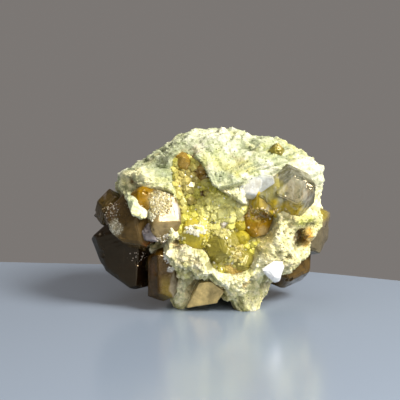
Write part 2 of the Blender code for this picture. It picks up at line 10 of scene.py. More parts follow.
import bmesh
import bpy
import numpy as np
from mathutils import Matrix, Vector


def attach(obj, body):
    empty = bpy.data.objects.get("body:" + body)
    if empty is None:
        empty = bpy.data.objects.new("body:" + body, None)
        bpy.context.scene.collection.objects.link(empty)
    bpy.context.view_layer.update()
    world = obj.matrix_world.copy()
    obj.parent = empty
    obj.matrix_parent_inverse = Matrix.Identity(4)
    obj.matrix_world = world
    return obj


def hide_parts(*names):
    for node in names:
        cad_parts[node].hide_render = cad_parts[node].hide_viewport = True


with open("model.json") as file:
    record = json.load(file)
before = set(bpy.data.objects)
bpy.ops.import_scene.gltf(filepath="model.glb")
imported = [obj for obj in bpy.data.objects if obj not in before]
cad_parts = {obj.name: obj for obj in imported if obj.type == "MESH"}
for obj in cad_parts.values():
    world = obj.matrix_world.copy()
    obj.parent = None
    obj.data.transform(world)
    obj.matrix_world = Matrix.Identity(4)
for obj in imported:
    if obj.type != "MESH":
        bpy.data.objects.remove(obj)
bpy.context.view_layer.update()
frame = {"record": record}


MM = 0.001
GROUND = 0.8  # the height in the tables at which the block is cut level
SHIFT = np.array([0.006, -0.415, -GROUND])

# ---------------------------------------------------------------- the block, as in the part
BLOCK_MIDDLE = np.array([0.5, 0.0, 19.0])
BLOCK_FRONT, BLOCK_BACK = 13.6, 14.4  # how far it reaches from its middle
BLOCK_ROUND = 0.8  # power of sine and cosine: 1 would be an ellipsoid
BLOCK_LEAN = 0.16
BLOCK_COLUMNS = 512
FRONT_ROWS, BACK_ROWS = 132, 56
FRONT_END = 0.12  # the angle at which the wider rows of the back begin
# The outline from the front, anticlockwise from the right.
OUTLINE = [
    (23.4, 19.0),
    (22.0, 22.8),
    (22.6, 27.0),
    (21.6, 30.0),
    (18.0, 32.2),
    (13.9, 34.2),
    (7.3, 35.4),
    (2.0, 36.8),
    (-2.8, 36.2),
    (-7.3, 34.1),
    (-11.4, 31.8),
    (-15.2, 29.6),
    (-18.7, 26.8),
    (-19.8, 24.7),
    (-17.4, 20.0),
    (-14.2, 14.0),
    (-11.2, 7.0),
    (-9.8, 3.2),
    (-5.2, 1.2),
    (1.5, 1.6),
    (7.0, 0.2),
    (10.0, 2.4),
    (13.4, 6.2),
    (17.6, 8.8),
    (20.6, 11.8),
    (22.4, 15.2),
]
# Lumps and recesses: name, centre, radii, how far the surface moves, and how much is plateau.
LUMPS = [
    ("roof over the hollow", (2.6, -10.0, 29.6), (7.5, 7.0, 3.6), (0.0, -2.6, -0.6), 0.3),
    ("roof corner", (-9.5, -7.0, 32.5), (5.0, 7.0, 3.2), (-0.3, -1.6, 0.3), 0.2),
    ("cap on the left crystals", (-14.5, -8.5, 28.0), (6.0, 7.0, 2.6), (-0.6, -2.0, 0.2), 0.3),
    ("bay for the left crystals", (-11.5, -11.0, 23.6), (5.4, 8.0, 2.9), (0.0, 3.2, 0.0), 0.3),
    ("shoulder at the right", (20.8, -3.0, 29.0), (4.0, 7.0, 4.6), (0.9, -1.2, 0.5), 0.2),
    ("white tongue", (6.0, -10.0, 24.2), (1.9, 7.0, 2.8), (0.0, -1.2, -0.4), 0.3),
    ("rim below the hollow", (-4.2, -13.0, 11.6), (7.0, 7.0, 4.2), (0.0, -2.2, 0.0), 0.3),
    ("rim lobe", (2.6, -13.0, 8.4), (4.0, 6.0, 2.0), (0.0, -1.6, 0.0), 0.2),
    ("bay under the rim", (-1.2, -12.0, 4.8), (5.0, 8.0, 3.8), (0.0, 4.8, 0.4), 0.4),
    ("bay between the left crystals", (-11.6, -12.0, 15.4), (4.0, 8.0, 3.4), (0.0, 4.4, 0.0), 0.4),
    ("bay for the left foot's crystal", (-9.6, -12.0, 8.6), (3.6, 8.0, 5.2), (0.0, 3.0, 0.0), 0.4),
    ("bay for the right crystals", (10.4, -12.0, 24.0), (5.4, 8.0, 3.8), (0.0, 4.2, 0.0), 0.35),
    ("bay beside it", (16.4, -10.0, 25.0), (5.6, 8.0, 4.0), (0.0, 2.6, 0.0), 0.3),
    ("band over the left crystals", (-16.6, -9.0, 23.6), (2.4, 8.0, 2.6), (0.0, -4.6, -0.4), 0.35),
    ("band, lower end", (-15.0, -10.0, 21.8), (2.1, 8.0, 2.4), (0.0, -4.6, -0.4), 0.3),
    ("block at the right", (15.2, -11.0, 12.4), (7.5, 7.0, 6.0), (0.3, -1.8, 0.0), 0.4),
    ("right foot", (7.4, -8.8, 1.8), (3.6, 4.2, 4.2), (0.0, -1.0, -2.2), 0.4),
    ("left foot", (-6.4, -6.6, 1.8), (2.5, 3.8, 3.6), (0.0, -0.2, -2.2), 0.35),
    ("back foot", (0.5, 8.2, 2.4), (9.0, 6.0, 5.0), (0.0, 1.0, -3.6), 0.5),
    ("arch between the feet", (1.4, -6.0, 0.8), (3.8, 12.0, 3.4), (0.0, 0.0, 2.6), 0.35),
    ("back rib", (-12.0, 11.0, 19.0), (3.0, 7.0, 7.0), (-0.2, 1.2, 0.0), 0.3),
    ("back step", (8.0, 14.0, 8.5), (9.0, 7.0, 2.6), (0.0, 1.4, -0.3), 0.3),
    ("back bulge", (6.5, 12.0, 25.5), (8.0, 7.0, 6.0), (0.0, 1.8, 0.0), 0.3),
    ("back hollow", (-1.5, 14.0, 15.0), (6.0, 7.0, 4.6), (0.0, -2.4, 0.0), 0.3),
    ("back ledge", (-9.0, 10.5, 29.5), (7.0, 7.0, 3.0), (0.0, 1.5, 0.5), 0.3),
    ("left side bay", (-18.5, 2.0, 12.0), (5.0, 6.0, 5.0), (1.6, 0.0, 0.0), 0.2),
]
# Pits don't add up, the deepest counts: name, centre, radii, depth, plateau.
PITS = [
    ("pit in the right block", (18.1, -10.0, 15.0), (3.1, 9.0, 3.7), 4.0, 0.3),
    ("pit beside it", (14.6, -12.0, 12.6), (1.0, 8.0, 0.9), 1.6, 0.3),
    ("pit at the left", (-16.3, -8.0, 27.2), (1.5, 7.0, 1.4), 2.6, 0.3),
    ("pit in the rim", (-6.6, -14.0, 13.8), (1.8, 8.0, 1.3), 1.6, 0.2),
    ("pit low in the rim", (-3.6, -14.0, 10.0), (1.2, 8.0, 0.9), 1.3, 0.3),
]
LEDGE_STEP, LEDGE_DEPTH, LEDGE_SLOPE = 2.3, 0.55, 0.22
WARP, WARP_SIZE = 0.9, 4.5
ROUGH, ROUGH_SIZE = 0.85, 4.6
ROOF_HEIGHTS = (23.0, 29.0)  # where the layered roof begins, and where it is fully there

# Finer relief of the block: name, centre, radii, how far the surface moves, plateau.
DETAILS = [
    ("hollow under the corner", (-6.1, -8.0, 31.4), (2.6, 7.0, 2.0), (0.0, 2.2, 0.0), 0.2),
    ("wedge beside it", (-3.4, -9.0, 30.4), (1.9, 7.0, 2.0), (0.0, 1.6, 0.0), 0.2),
    ("olive lump", (-7.3, -8.0, 33.0), (1.8, 5.0, 1.3), (-0.1, -0.7, 0.3), 0.2),
    ("streaked cheek", (-12.4, -8.5, 29.4), (4.0, 6.0, 2.4), (0.0, -0.6, 0.2), 0.3),
    ("groove under the cheek", (-17.0, -9.0, 25.7), (5.0, 6.0, 0.7), (0.0, 0.9, 0.0), 0.2),
    ("step above the right crystals", (12.0, -9.0, 31.0), (5.5, 6.0, 1.6), (0.0, -0.9, 0.1), 0.2),
    ("notch in the green area", (7.4, -8.0, 33.5), (3.0, 5.0, 0.8), (0.0, 0.9, 0.0), 0.2),
    ("ledge at the right", (19.3, -10.0, 19.6), (4.0, 7.0, 1.7), (0.0, -1.6, 0.3), 0.3),
    ("overhang of the pit", (18.6, -10.0, 17.9), (2.6, 7.0, 0.9), (0.0, -0.8, 0.0), 0.2),
    ("notch by the left rim", (-6.8, -13.0, 15.2), (2.0, 7.0, 1.2), (0.0, 1.6, 0.0), 0.2),
    ("lip of the rim", (0.6, -14.0, 9.3), (5.5, 6.0, 1.0), (0.0, -0.9, 0.2), 0.3),
    ("undercut of the rim", (0.6, -13.0, 7.6), (5.0, 6.0, 0.9), (0.0, 1.1, 0.0), 0.3),
    ("porous knob", (16.4, -12.0, 10.4), (3.6, 6.0, 3.0), (0.0, -0.7, 0.0), 0.3),
    ("cleft in the knob", (13.2, -12.0, 13.6), (1.2, 6.0, 2.4), (0.0, 0.8, 0.0), 0.2),
    ("tip of the tongue", (6.2, -10.5, 24.0), (2.2, 6.0, 2.4), (0.0, -1.8, -0.3), 0.35),
    ("corner of the pit", (19.6, -11.0, 13.0), (1.8, 6.0, 1.8), (0.0, 1.8, 0.0), 0.3),
    ("deep side of the pit", (17.7, -8.0, 15.4), (1.9, 8.0, 2.3), (0.0, 1.4, 0.0), 0.3),
    ("spur in the pit", (20.0, -8.0, 16.2), (1.3, 7.0, 2.0), (-0.6, -1.8, -0.2), 0.2),
]
GROOVES_PER_LEDGE, GROOVE_WIDTH, GROOVE_DEPTH = 1.9, 0.16, 0.55
KNOB_SIZE, COARSE_GRAIN, SMALL_GRAIN = 2.2, 1.25, 0.62
GRAIN_REACH = 0.45  # from a grain's spot, in cell widths, out to which it stands up
PORE_SIZE, PORE_DEPTH = 1.45, 0.6

# ---------------------------------------------------------------- the hollow
CRUST_MIDDLE = np.array([1.4, 19.6])
CRUST_THICK = 1.4
CRUST_OUTLINE = [
    (12.6, 19.4),
    (11.6, 21.6),
    (8.2, 21.8),
    (4.4, 24.2),
    (0.4, 26.6),
    (-2.6, 31.0),
    (-6.6, 32.4),
    (-8.2, 28.6),
    (-6.8, 23.6),
    (-7.2, 18.2),
    (-5.0, 15.2),
    (-1.0, 13.0),
    (0.6, 9.6),
    (4.6, 8.6),
    (7.6, 10.2),
    (9.2, 14.0),
    (11.6, 16.2),
]
# Depths of the hollow's floor: x, z and the depth y there.
HOLLOW_LEVELS = [
    (-5.5, 31.0, -6.2),
    (-1.5, 28.5, -6.6),
    (-5.0, 24.5, -8.6),
    (0.5, 23.5, -9.0),
    (6.0, 22.0, -9.6),
    (2.0, 19.5, -9.6),
    (-5.5, 17.0, -10.4),
    (1.5, 14.5, -10.0),
    (3.0, 9.8, -11.6),
    (7.0, 14.0, -9.0),
    (9.0, 19.0, -7.0),
    (12.2, 20.0, -5.6),
]

# ---------------------------------------------------------------- colours, as linear light
CREAM = (0.94, 0.87, 0.50)
ROOF = (0.53, 0.56, 0.37)
# painted shade: the dark colour laid in the crevices
CREVICE_SHADE = (0.17, 0.155, 0.05)
WHITE = (0.93, 0.91, 0.78)
LIME = (0.62, 0.60, 0.20)
SAGE = (0.36, 0.40, 0.25)
MOSS = (0.13, 0.15, 0.05)
TAN = (0.50, 0.40, 0.21)
# deep brown: painted shadow in the wedges under the lip, and the brown laid in the pit at the left and
# the notch
RUST_AND_SHADOW = (0.26, 0.12, 0.03)
GOLD = (0.62, 0.38, 0.06)
PALE_GREEN = (0.66, 0.74, 0.50)

BAND = ("green band", (-16.0, -11.0, 22.8), (2.6, 6.0, 3.4), PALE_GREEN, 0.9, 0.5)
# Patches of colour on the block, some of them painted light or shade: name, centre, radii, colour,
# strength, plateau.
STAINS = [
    # painted highlight: the white shoulder and crest stand for the key light blown out on the right and
    # the top
    ("white shoulder", (20.4, -3.0, 29.0), (5.0, 9.0, 6.0), WHITE, 0.9, 0.4),
    ("white crest", (2.8, -1.0, 36.6), (12.0, 9.0, 2.6), WHITE, 0.6, 0.4),
    ("grey cheek", (-10.4, -8.5, 30.0), (4.4, 6.0, 2.3), SAGE, 0.85, 0.3),
    ("green spot", (7.4, -8.0, 33.6), (3.0, 5.0, 0.9), MOSS, 0.9, 0.4),
    ("green area", (11.9, -7.0, 33.6), (4.4, 6.0, 2.0), (0.34, 0.36, 0.10), 0.85, 0.4),
    ("olive lump", (-7.3, -8.0, 33.0), (2.0, 5.0, 1.4), SAGE, 0.9, 0.4),
    ("golden hollow", (-6.1, -7.5, 31.4), (2.6, 5.0, 1.9), GOLD, 0.95, 0.5),
    # painted shadow: the brown wedges stand for the shade that the lip's overhang casts
    ("brown wedge", (-3.6, -8.0, 30.5), (1.7, 5.0, 2.2), RUST_AND_SHADOW, 0.95, 0.4),
    ("brown wedge, lower", (-1.8, -9.0, 28.6), (1.6, 5.0, 1.9), RUST_AND_SHADOW, 0.8, 0.4),
    ("yellow-green zone", (5.4, -10.0, 30.3), (5.6, 6.0, 2.0), (0.44, 0.42, 0.12), 0.85, 0.4),
    ("white chips", (11.4, -10.0, 30.4), (2.4, 5.0, 1.5), WHITE, 0.9, 0.5),
    # the cap's own cream, raised further as painted light against the shade on its left-facing slope
    ("pale cap", (-15.6, -8.5, 27.7), (5.4, 8.0, 3.0), (0.94, 0.88, 0.54), 0.95, 0.7),
    ("pit at the left", (-16.4, -7.0, 27.2), (1.2, 5.0, 0.9), RUST_AND_SHADOW, 0.95, 0.4),
    ("white tongue", (6.2, -12.0, 24.2), (2.2, 5.0, 2.6), WHITE, 0.9, 0.5),
    ("dull block", (13.6, -13.0, 14.4), (7.0, 7.0, 7.0), (0.70, 0.64, 0.38), 0.5, 0.5),
    BAND,
    # painted shade along the groove under the cheek
    ("dark line", (-18.1, -9.0, 25.6), (4.0, 6.0, 0.7), MOSS, 0.75, 0.4),
    ("pitted rim", (-4.8, -14.0, 12.6), (3.4, 5.0, 2.2), TAN, 0.55, 0.3),
    ("notch", (-6.8, -12.0, 15.2), (2.0, 5.0, 1.1), RUST_AND_SHADOW, 0.85, 0.4),
    # painted light and shade: the lip of the rim painted brighter, its undercut below painted darker
    # sage
    ("bright rim", (0.6, -14.0, 9.4), (5.5, 6.0, 1.0), WHITE, 0.6, 0.4),
    ("green under the rim", (0.6, -13.0, 8.0), (5.0, 6.0, 0.9), SAGE, 0.6, 0.4),
    ("orange spot", (7.1, -13.0, 7.1), (1.1, 4.0, 0.9), GOLD, 0.8, 0.4),
    ("olive spot", (8.4, -12.0, 3.4), (1.5, 4.0, 1.0), LIME, 0.7, 0.4),
    ("porous knob", (16.5, -12.0, 10.8), (4.2, 5.0, 3.2), TAN, 0.5, 0.3),
    ("orange pit", (19.4, -9.0, 15.2), (2.4, 8.0, 3.2), (0.60, 0.29, 0.01), 0.95, 0.5),
    # painted shade on the pit's deep, shaded side
    ("brown of the pit", (17.9, -8.0, 15.1), (1.9, 6.0, 2.6), (0.14, 0.06, 0.005), 0.95, 0.6),
    ("dull right foot", (8.2, -11.0, 4.6), (3.6, 7.0, 3.6), (0.64, 0.59, 0.30), 0.6, 0.5),
    # the foot's own cream, raised further as painted light against its shade
    ("pale left foot", (-5.4, -9.0, 6.0), (3.2, 6.0, 4.4), (0.96, 0.90, 0.60), 0.95, 0.6),
    ("lime ledge", (19.3, -11.0, 19.5), (3.8, 6.0, 1.8), (0.55, 0.55, 0.10), 0.85, 0.5),
    ("yellow wall", (10.6, -11.0, 15.6), (2.4, 8.0, 4.5), (0.74, 0.63, 0.22), 0.8, 0.4),
    ("yellow edge", (23.0, -5.0, 17.8), (2.6, 6.0, 2.4), LIME, 0.8, 0.4),
    ("back stain", (4.0, 14.0, 20.0), (7.0, 6.0, 7.0), LIME, 0.5, 0.3),
    ("back rust", (-3.0, 13.0, 13.0), (5.0, 6.0, 3.0), TAN, 0.6, 0.3),
]


# ---------------------------------------------------------------- noise
def cell_value(cells, seed):
    """A repeatable value from -1 to 1 for each row of whole numbers (x, y, z)."""
    x, y, z = (cells[..., k].astype(np.int64) for k in range(3))
    n = (x * 374761393 + y * 668265263 + z * 1440662683 + seed * 974634777) & 0xFFFFFFFF
    n = ((n ^ (n >> 13)) * 1274126177) & 0xFFFFFFFF
    n = ((n ^ (n >> 16)) * 2246822519) & 0xFFFFFFFF
    return ((n ^ (n >> 15)) & 0xFFFFFF) / float(0x7FFFFF) - 1.0


def noise(points, size, seed):
    """Smooth noise from -1 to 1 whose bumps are about one size across."""
    p = points / size
    low = np.floor(p)
    t = p - low
    t = t * t * t * (t * (t * 6 - 15) + 10)
    total = 0.0
    for corner in np.ndindex(2, 2, 2):
        corner = np.array(corner)
        weight = np.prod(np.where(corner == 1, t, 1 - t), axis=-1)
        total = total + weight * cell_value(low + corner, seed)
    return total


def rough(points, size, seed, octaves=3):
    """Noise of several sizes, each half as wide and half as strong as the one before."""
    return sum(noise(points, size / 2**k, seed + k) / 2**k for k in range(octaves))


def noise_vectors(points, size, seed):
    """Three noises that don't match, as one vector at each point."""
    return np.stack([noise(points, size, seed + 31 * k) for k in range(3)], axis=-1)


def grains(points, size, seed):
    """Distance to the nearest of scattered spots, one in each cell of a lattice, in cell widths."""
    p = points / size
    low = np.floor(p)
    nearest = np.full(p.shape[:-1], 9.0)
    for step in np.ndindex(3, 3, 3):
        cell = low + np.array(step) - 1
        spot = np.stack([cell_value(cell, seed + k) for k in range(3)], axis=-1)
        nearest = np.minimum(nearest, np.linalg.norm(cell + 0.5 + 0.45 * spot - p, axis=-1))
    return nearest


def smoothstep(low, high, value):
    """0 up to low, 1 from high, and a smooth ramp between them."""
    t = np.clip((value - low) / (high - low), 0.0, 1.0)
    return t * t * (3 - 2 * t)


def falloff(points, centre, radii, plateau):
    """1 inside the plateau's share of an ellipsoid, falling smoothly to 0 at its surface."""
    away = np.linalg.norm((points - np.array(centre)) / np.array(radii), axis=-1)
    return 1.0 - smoothstep(plateau, 1.0, away)


def falloff_of(centre, radii):
    """A function that weighs points by their nearness to the middle of an ellipsoid."""
    return lambda points: falloff(points, centre, radii, 0.5)


def blend(colours, towards, weight):
    """Colours moved towards another by a weight from 0 to 1."""
    weight = np.clip(weight, 0.0, 1.0)[..., None]
    return colours * (1 - weight) + np.array(towards) * weight


def stained(colours, near, stains, strength=1.0):
    """Colours with each of the named stains laid over them in turn."""
    for _, centre, radii, colour, share, plateau in stains:
        colours = blend(colours, colour, strength * share * falloff(near, centre, radii, plateau))
    return colours


# ---------------------------------------------------------------- surfaces
def polar_outline(outline, middle, angles):
    """Radius at each angle of a smooth closed curve through the outline's points."""
    points = np.array(outline) - middle
    knots = np.arctan2(points[:, 1], points[:, 0])
    radii = np.hypot(points[:, 0], points[:, 1])
    order = np.argsort(knots)
    knots, radii = knots[order], radii[order]
    knots = np.concatenate([knots - 2 * np.pi, knots, knots + 2 * np.pi])
    radii = np.tile(radii, 3)
    angles = (angles + np.pi) % (2 * np.pi) - np.pi
    i = np.clip(np.searchsorted(knots, angles) - 1, 1, len(knots) - 3)
    step = knots[i + 1] - knots[i]
    t = (angles - knots[i]) / step
    slope_in = (radii[i + 1] - radii[i - 1]) / (knots[i + 1] - knots[i - 1]) * step
    slope_out = (radii[i + 2] - radii[i]) / (knots[i + 2] - knots[i]) * step
    return (
        radii[i] * (1 + 2 * t) * (1 - t) ** 2
        + slope_in * t * (1 - t) ** 2
        + radii[i + 1] * t * t * (3 - 2 * t)
        - slope_out * t * t * (1 - t)
    )


def band_triangles(rings, columns):
    """Triangles between each closed ring of points and the next."""
    i, j = np.meshgrid(np.arange(rings - 1), np.arange(columns), indexing="ij")
    k = (j + 1) % columns
    a, b, c, d = i * columns + j, (i + 1) * columns + j, (i + 1) * columns + k, i * columns + k
    return np.stack([a, b, c, a, c, d], axis=-1).reshape(-1, 3)


def ring_triangles(rings, columns):
    """Triangles of a closed tube of rings of points, with a fan to one more point at either end."""
    j = np.arange(columns)
    k = (j + 1) % columns
    last = (rings - 1) * columns
    first_fan = np.stack([np.full(columns, rings * columns), j, k], axis=-1)
    last_fan = np.stack([np.full(columns, rings * columns + 1), last + k, last + j], axis=-1)
    return np.concatenate([band_triangles(rings, columns), first_fan, last_fan])


def facing_out(points, triangles):
    """The same triangles, all turned over if they enclose a negative volume."""
    a, b, c = (points[triangles[:, k]] for k in range(3))
    volume = np.einsum("ij,ij->", a, np.cross(b, c))
    return triangles if volume > 0 else triangles[:, ::-1]


def joined(parts):
    """One set of points, triangles and colours out of several."""
    starts = np.cumsum([0] + [len(points) for points, _, _ in parts])
    points = np.concatenate([points for points, _, _ in parts])
    triangles = np.concatenate([t + start for (_, t, _), start in zip(parts, starts)])
    colours = np.concatenate([c for _, _, c in parts])
    return points, triangles, colours


# ---------------------------------------------------------------- the block's surface
def hollow_level(x, z):
    """The depth y of the hollow's floor: a smooth blend of HOLLOW_LEVELS, nearest ones first."""
    total, weights = 0.0, 0.0
    for at_x, at_z, y in HOLLOW_LEVELS:
        weight = 1.0 / ((x - at_x) ** 2 + (z - at_z) ** 2 + 2.0) ** 1.5
        total, weights = total + weight * y, weights + weight
    return total / weights


def crust_share(points):
    """How far points lie from the crust's middle, as a share of the way to its outline."""
    x, z = points[..., 0] - CRUST_MIDDLE[0], points[..., 2] - CRUST_MIDDLE[1]
    return np.hypot(x, z) / polar_outline(CRUST_OUTLINE, CRUST_MIDDLE, np.arctan2(z, x))


def sink_hollow(points):
    """Push front points down to the hollow's floor inside the crust's outline, with a soft rim."""
    inside = (1.0 - smoothstep(0.92, 1.12, crust_share(points))) * (points[..., 1] < 0.0)
    floor = hollow_level(points[..., 0], points[..., 2]) + 0.3
    points[..., 1] += inside * np.maximum(floor - points[..., 1], 0.0)
    return points


def block_surface(around, across):
    """Points of the block, and how deep its grooves and crevices are there.

    The angle around runs along the outline, and across from front (-90) to back (90 degrees). The
    outline shrinks by a power of the cosine of across while the depth grows by that of its sine,
    and the whole leans back with height. Lumps and pits move the surface, and ledges step its
    roof. Fine details, grooves along the ledges, knobs, grains and pores come on top. The smooth
    band has the fewest, and the pores are only below the roof.
    """
    radius = polar_outline(OUTLINE, BLOCK_MIDDLE[[0, 2]], around)
    inward = np.abs(np.cos(across)) ** BLOCK_ROUND
    depth = np.sign(np.sin(across)) * np.abs(np.sin(across)) ** BLOCK_ROUND
    half = np.where(across < 0, BLOCK_FRONT, BLOCK_BACK)
    start = BLOCK_MIDDLE + np.stack(
        [radius * inward * np.cos(around), depth * half, radius * inward * np.sin(around)],
        axis=-1,
    )
    start[..., 1] += BLOCK_LEAN * (start[..., 2] - BLOCK_MIDDLE[2])
    outward = start - BLOCK_MIDDLE
    outward = outward / np.linalg.norm(outward, axis=-1, keepdims=True)
    wander = start + WARP * noise_vectors(start, WARP_SIZE, 11)
    points = start.copy()
    for _, centre, radii, move, plateau in LUMPS:
        points += falloff(wander, centre, radii, plateau)[..., None] * np.array(move)
    depths = [falloff(wander, c, r, p) * d for _, c, r, d, p in PITS]
    points[..., 1] += np.max(depths, axis=0)
    level = (points[..., 2] - LEDGE_SLOPE * points[..., 0]) / LEDGE_STEP
    level += 0.5 * noise(start, 7.0, 41)
    step = smoothstep(0.0, 0.35, level - np.floor(level)) - 0.5
    roof = smoothstep(*ROOF_HEIGHTS, start[..., 2])
    points += outward * (roof * LEDGE_DEPTH * step)[..., None]
    points += outward * (ROUGH * rough(start, ROUGH_SIZE, 71))[..., None]

    near = points + 0.5 * noise_vectors(points, 1.8, 211)
    for _, centre, radii, move, plateau in DETAILS:
        points += falloff(near, centre, radii, plateau)[..., None] * np.array(move)
    fine = level * GROOVES_PER_LEDGE + 0.3 * noise(points, 2.5, 401)
    line = np.exp(-(((fine - np.floor(fine) - 0.5) / GROOVE_WIDTH) ** 2))
    groove = roof * line * smoothstep(-0.1, 0.25, noise(points * [0.35, 1.0, 1.0], 3.0, 431))
    smooth = falloff(near, BAND[1], BAND[2], 0.5) * (across < 0)
    coarse = GRAIN_REACH - grains(start, COARSE_GRAIN, 301)
    small = GRAIN_REACH - grains(start, SMALL_GRAIN, 331)
    knobs = (0.5 - 0.2 * roof) * rough(start, KNOB_SIZE, 171)
    pore = smoothstep(0.32, 0.14, grains(start, PORE_SIZE, 361))
    pore *= (1 - roof) * (1 - smooth) * smoothstep(-0.1, 0.4, noise(start, 3.6, 371))
    crevice = 0.5 * pore - (knobs + 0.7 * coarse + 0.5 * small) * (1.0 - 0.3 * smooth)
    knobs += 0.7 * (1 - 0.72 * roof) * coarse + 0.55 * (1 - 0.55 * roof) * small
    knobs *= 1.0 - 0.3 * smooth
    points += outward * (knobs - GROOVE_DEPTH * groove - PORE_DEPTH * pore)[..., None]
    return sink_hollow(points), groove, crevice


def block_colours(points, groove, crevice):
    """Colour of the block: cream below and grey-green on the roof, then noise of other tints.

    The tints are lime, white, sage and tan. Then come painted highlights in white on the knobs,
    the named stains, painted shadow in sage along the grooves and painted shade in the crevices.
    """
    colours = np.broadcast_to(np.array(CREAM), points.shape)
    colours = blend(colours, ROOF, smoothstep(22.0, 29.0, points[..., 2]))
    colours = blend(colours, LIME, 0.6 * smoothstep(0.1, 0.8, rough(points, 4.6, 501)))
    colours = blend(colours, WHITE, 0.6 * smoothstep(0.1, 0.8, rough(points, 3.1, 541)))
    high = 0.25 + 0.75 * smoothstep(20.0, 27.0, points[..., 2])
    colours = blend(colours, SAGE, 0.9 * high * smoothstep(0.1, 0.9, rough(points, 2.6, 561)))
    colours = blend(colours, TAN, 0.5 * smoothstep(0.4, 1.0, rough(points, 2.8, 581)))
    # painted highlight: the tops of the knobs and grains whitened
    colours = blend(colours, WHITE, 0.4 * smoothstep(0.1, 0.4, -crevice))
    near = points + 0.7 * noise_vectors(points, 1.3, 601)
    colours = stained(colours, near, STAINS, 0.8 + 0.3 * rough(points, 1.0, 621))
    # painted shadow: darker sage along the grooves of the roof
    colours = blend(colours, 0.7 * np.array(SAGE), 0.95 * groove)
    # painted shade: the crevices darkened, less so up on the roof
    dark = (1.0 - 0.6 * high) * smoothstep(0.10, 0.5, crevice)
    return blend(colours, CREVICE_SHADE, 0.85 * dark)


def block():
    """The block's points, triangles and colours. Most rows lie on its front half."""
    around = np.arange(BLOCK_COLUMNS) * 2 * np.pi / BLOCK_COLUMNS
    front = np.linspace(-np.pi / 2, FRONT_END, FRONT_ROWS, endpoint=False)[1:]
    across = np.concatenate([front, np.linspace(FRONT_END, np.pi / 2, BACK_ROWS)[:-1]])
    grid, groove, crevice = block_surface(*np.broadcast_arrays(around[None, :], across[:, None]))
    ends, end_groove, end_crevice = block_surface(np.zeros(2), np.array([-np.pi / 2, np.pi / 2]))
    points = np.concatenate([grid.reshape(-1, 3), ends])
    groove = np.concatenate([groove.ravel(), end_groove])
    crevice = np.concatenate([crevice.ravel(), end_crevice])
    points[:, 2] = np.maximum(points[:, 2], GROUND)
    triangles = ring_triangles(len(across), BLOCK_COLUMNS)
    return points, triangles, block_colours(points, groove, crevice)


# ---------------------------------------------------------------- crumbs
CRUMBS = 6500
CRUMB_SIZES = (0.06, 0.26)


def icosahedron():
    """Corners and triangles of a regular icosahedron of radius 1."""
    g = (1 + 5**0.5) / 2
    corners = np.array(
        [(-1, g, 0), (1, g, 0), (-1, -g, 0), (1, -g, 0), (0, -1, g), (0, 1, g)]
        + [(0, -1, -g), (0, 1, -g), (g, 0, -1), (g, 0, 1), (-g, 0, -1), (-g, 0, 1)]
    )
    triangles = np.array(
        [(0, 11, 5), (0, 5, 1), (0, 1, 7), (0, 7, 10), (0, 10, 11), (1, 5, 9), (5, 11, 4)]
        + [(11, 10, 2), (10, 7, 6), (7, 1, 8), (3, 9, 4), (3, 4, 2), (3, 2, 6), (3, 6, 8)]
        + [(3, 8, 9), (4, 9, 5), (2, 4, 11), (6, 2, 10), (8, 6, 7), (9, 8, 1)]
    )
    return corners / np.linalg.norm(corners[0]), triangles


def scattered(chance, count, corners, triangles, places, sizes, colours, uneven):
    """Copies of one small body, each turned at random, stretched a little and put in its place.

    A copy's corner is its place + size x turned (corner x stretch), where stretch is 1 +- uneven.
    """
    turns = np.linalg.qr(chance.normal(size=(count, 3, 3)))[0]
    turns *= np.sign(np.linalg.det(turns))[:, None, None]
    stretch = 1.0 + uneven * chance.uniform(-1, 1, (count, len(corners), 1))
    local = corners[None] * stretch * sizes[:, None, None]
    points = np.einsum("nij,nkj->nki", turns, local) + places[:, None]
    index = triangles[None] + (np.arange(count) * len(corners))[:, None, None]
    tints = np.broadcast_to(colours[:, None], points.shape)
    return points.reshape(-1, 3), index.reshape(-1, 3), tints.reshape(-1, 3)


def strewn(chance, shape, wanted, count, sizes, tint=None, vary=0.3, body=None, uneven=0.25):
    """Grains half sunk in a surface, where a function of its triangles' middles wants them."""
    points, triangles, colours = shape
    a, b, c = (points[triangles[:, k]] for k in range(3))
    area = np.linalg.norm(np.cross(b - a, c - a), axis=1)
    middle = (a + b + c) / 3
    weight = area * wanted(middle)
    pick = chance.choice(len(area), count, p=weight / weight.sum())
    size = chance.uniform(*sizes, count)
    tints = colours[triangles[pick, 0]] if tint is None else np.tile(tint, (count, 1))
    tints = tints * chance.uniform(1.0 - vary, 1.15, (count, 1))
    tints = blend(tints, WHITE, chance.uniform(0, 1, count) ** 4 * vary)
    return scattered(chance, count, *(body or icosahedron()), middle[pick], size, tints, uneven)


def crumbs(shape):
    """Loose grains stuck on the block, most on its porous parts and none on the smooth band."""

    def wanted(middle):
        """The block outside the hollow and off the floor, by how porous it is there."""
        outside = crust_share(middle) > 1
        porous = 0.25 + smoothstep(-0.2, 0.6, noise(middle, 3.0, 701))
        porous *= 1 - 0.6 * smoothstep(24.0, 29.0, middle[:, 2])
        band = 1 - falloff(middle, BAND[1], BAND[2], 0.6)
        return porous * band * (outside | (middle[:, 1] > 0)) * (middle[:, 2] > 2.0)

    return strewn(np.random.default_rng(5), shape, wanted, CRUMBS, CRUMB_SIZES)


# ---------------------------------------------------------------- crystals
SMOKE = (0.14, 0.085, 0.026)
DARK = (0.020, 0.010, 0.004)
BROWN = (0.105, 0.052, 0.006)
UMBER = (0.10, 0.062, 0.012)
TAWNY = (0.34, 0.25, 0.11)
AMBER = (0.34, 0.18, 0.001)
HONEY = (0.54, 0.44, 0.04)
OLIVE = (0.28, 0.24, 0.04)
PINK = (0.61, 0.46, 0.19)
GREYISH = (0.20, 0.165, 0.10)
GLASS = (0.66, 0.48, 0.02)
STREAKED = (0.22, 0.21, 0.125)
# painted reflection: near white with a blue cast, for facets that mirror the sky
BLUISH = (0.88, 0.92, 0.90)
RESIN = (0.34, 0.21, 0.03)
FIBROUS = (0.52, 0.47, 0.16)
# painted reflection: grey-lilac that stands for sky glancing off glossy faces
LILAC = (0.36, 0.32, 0.33)
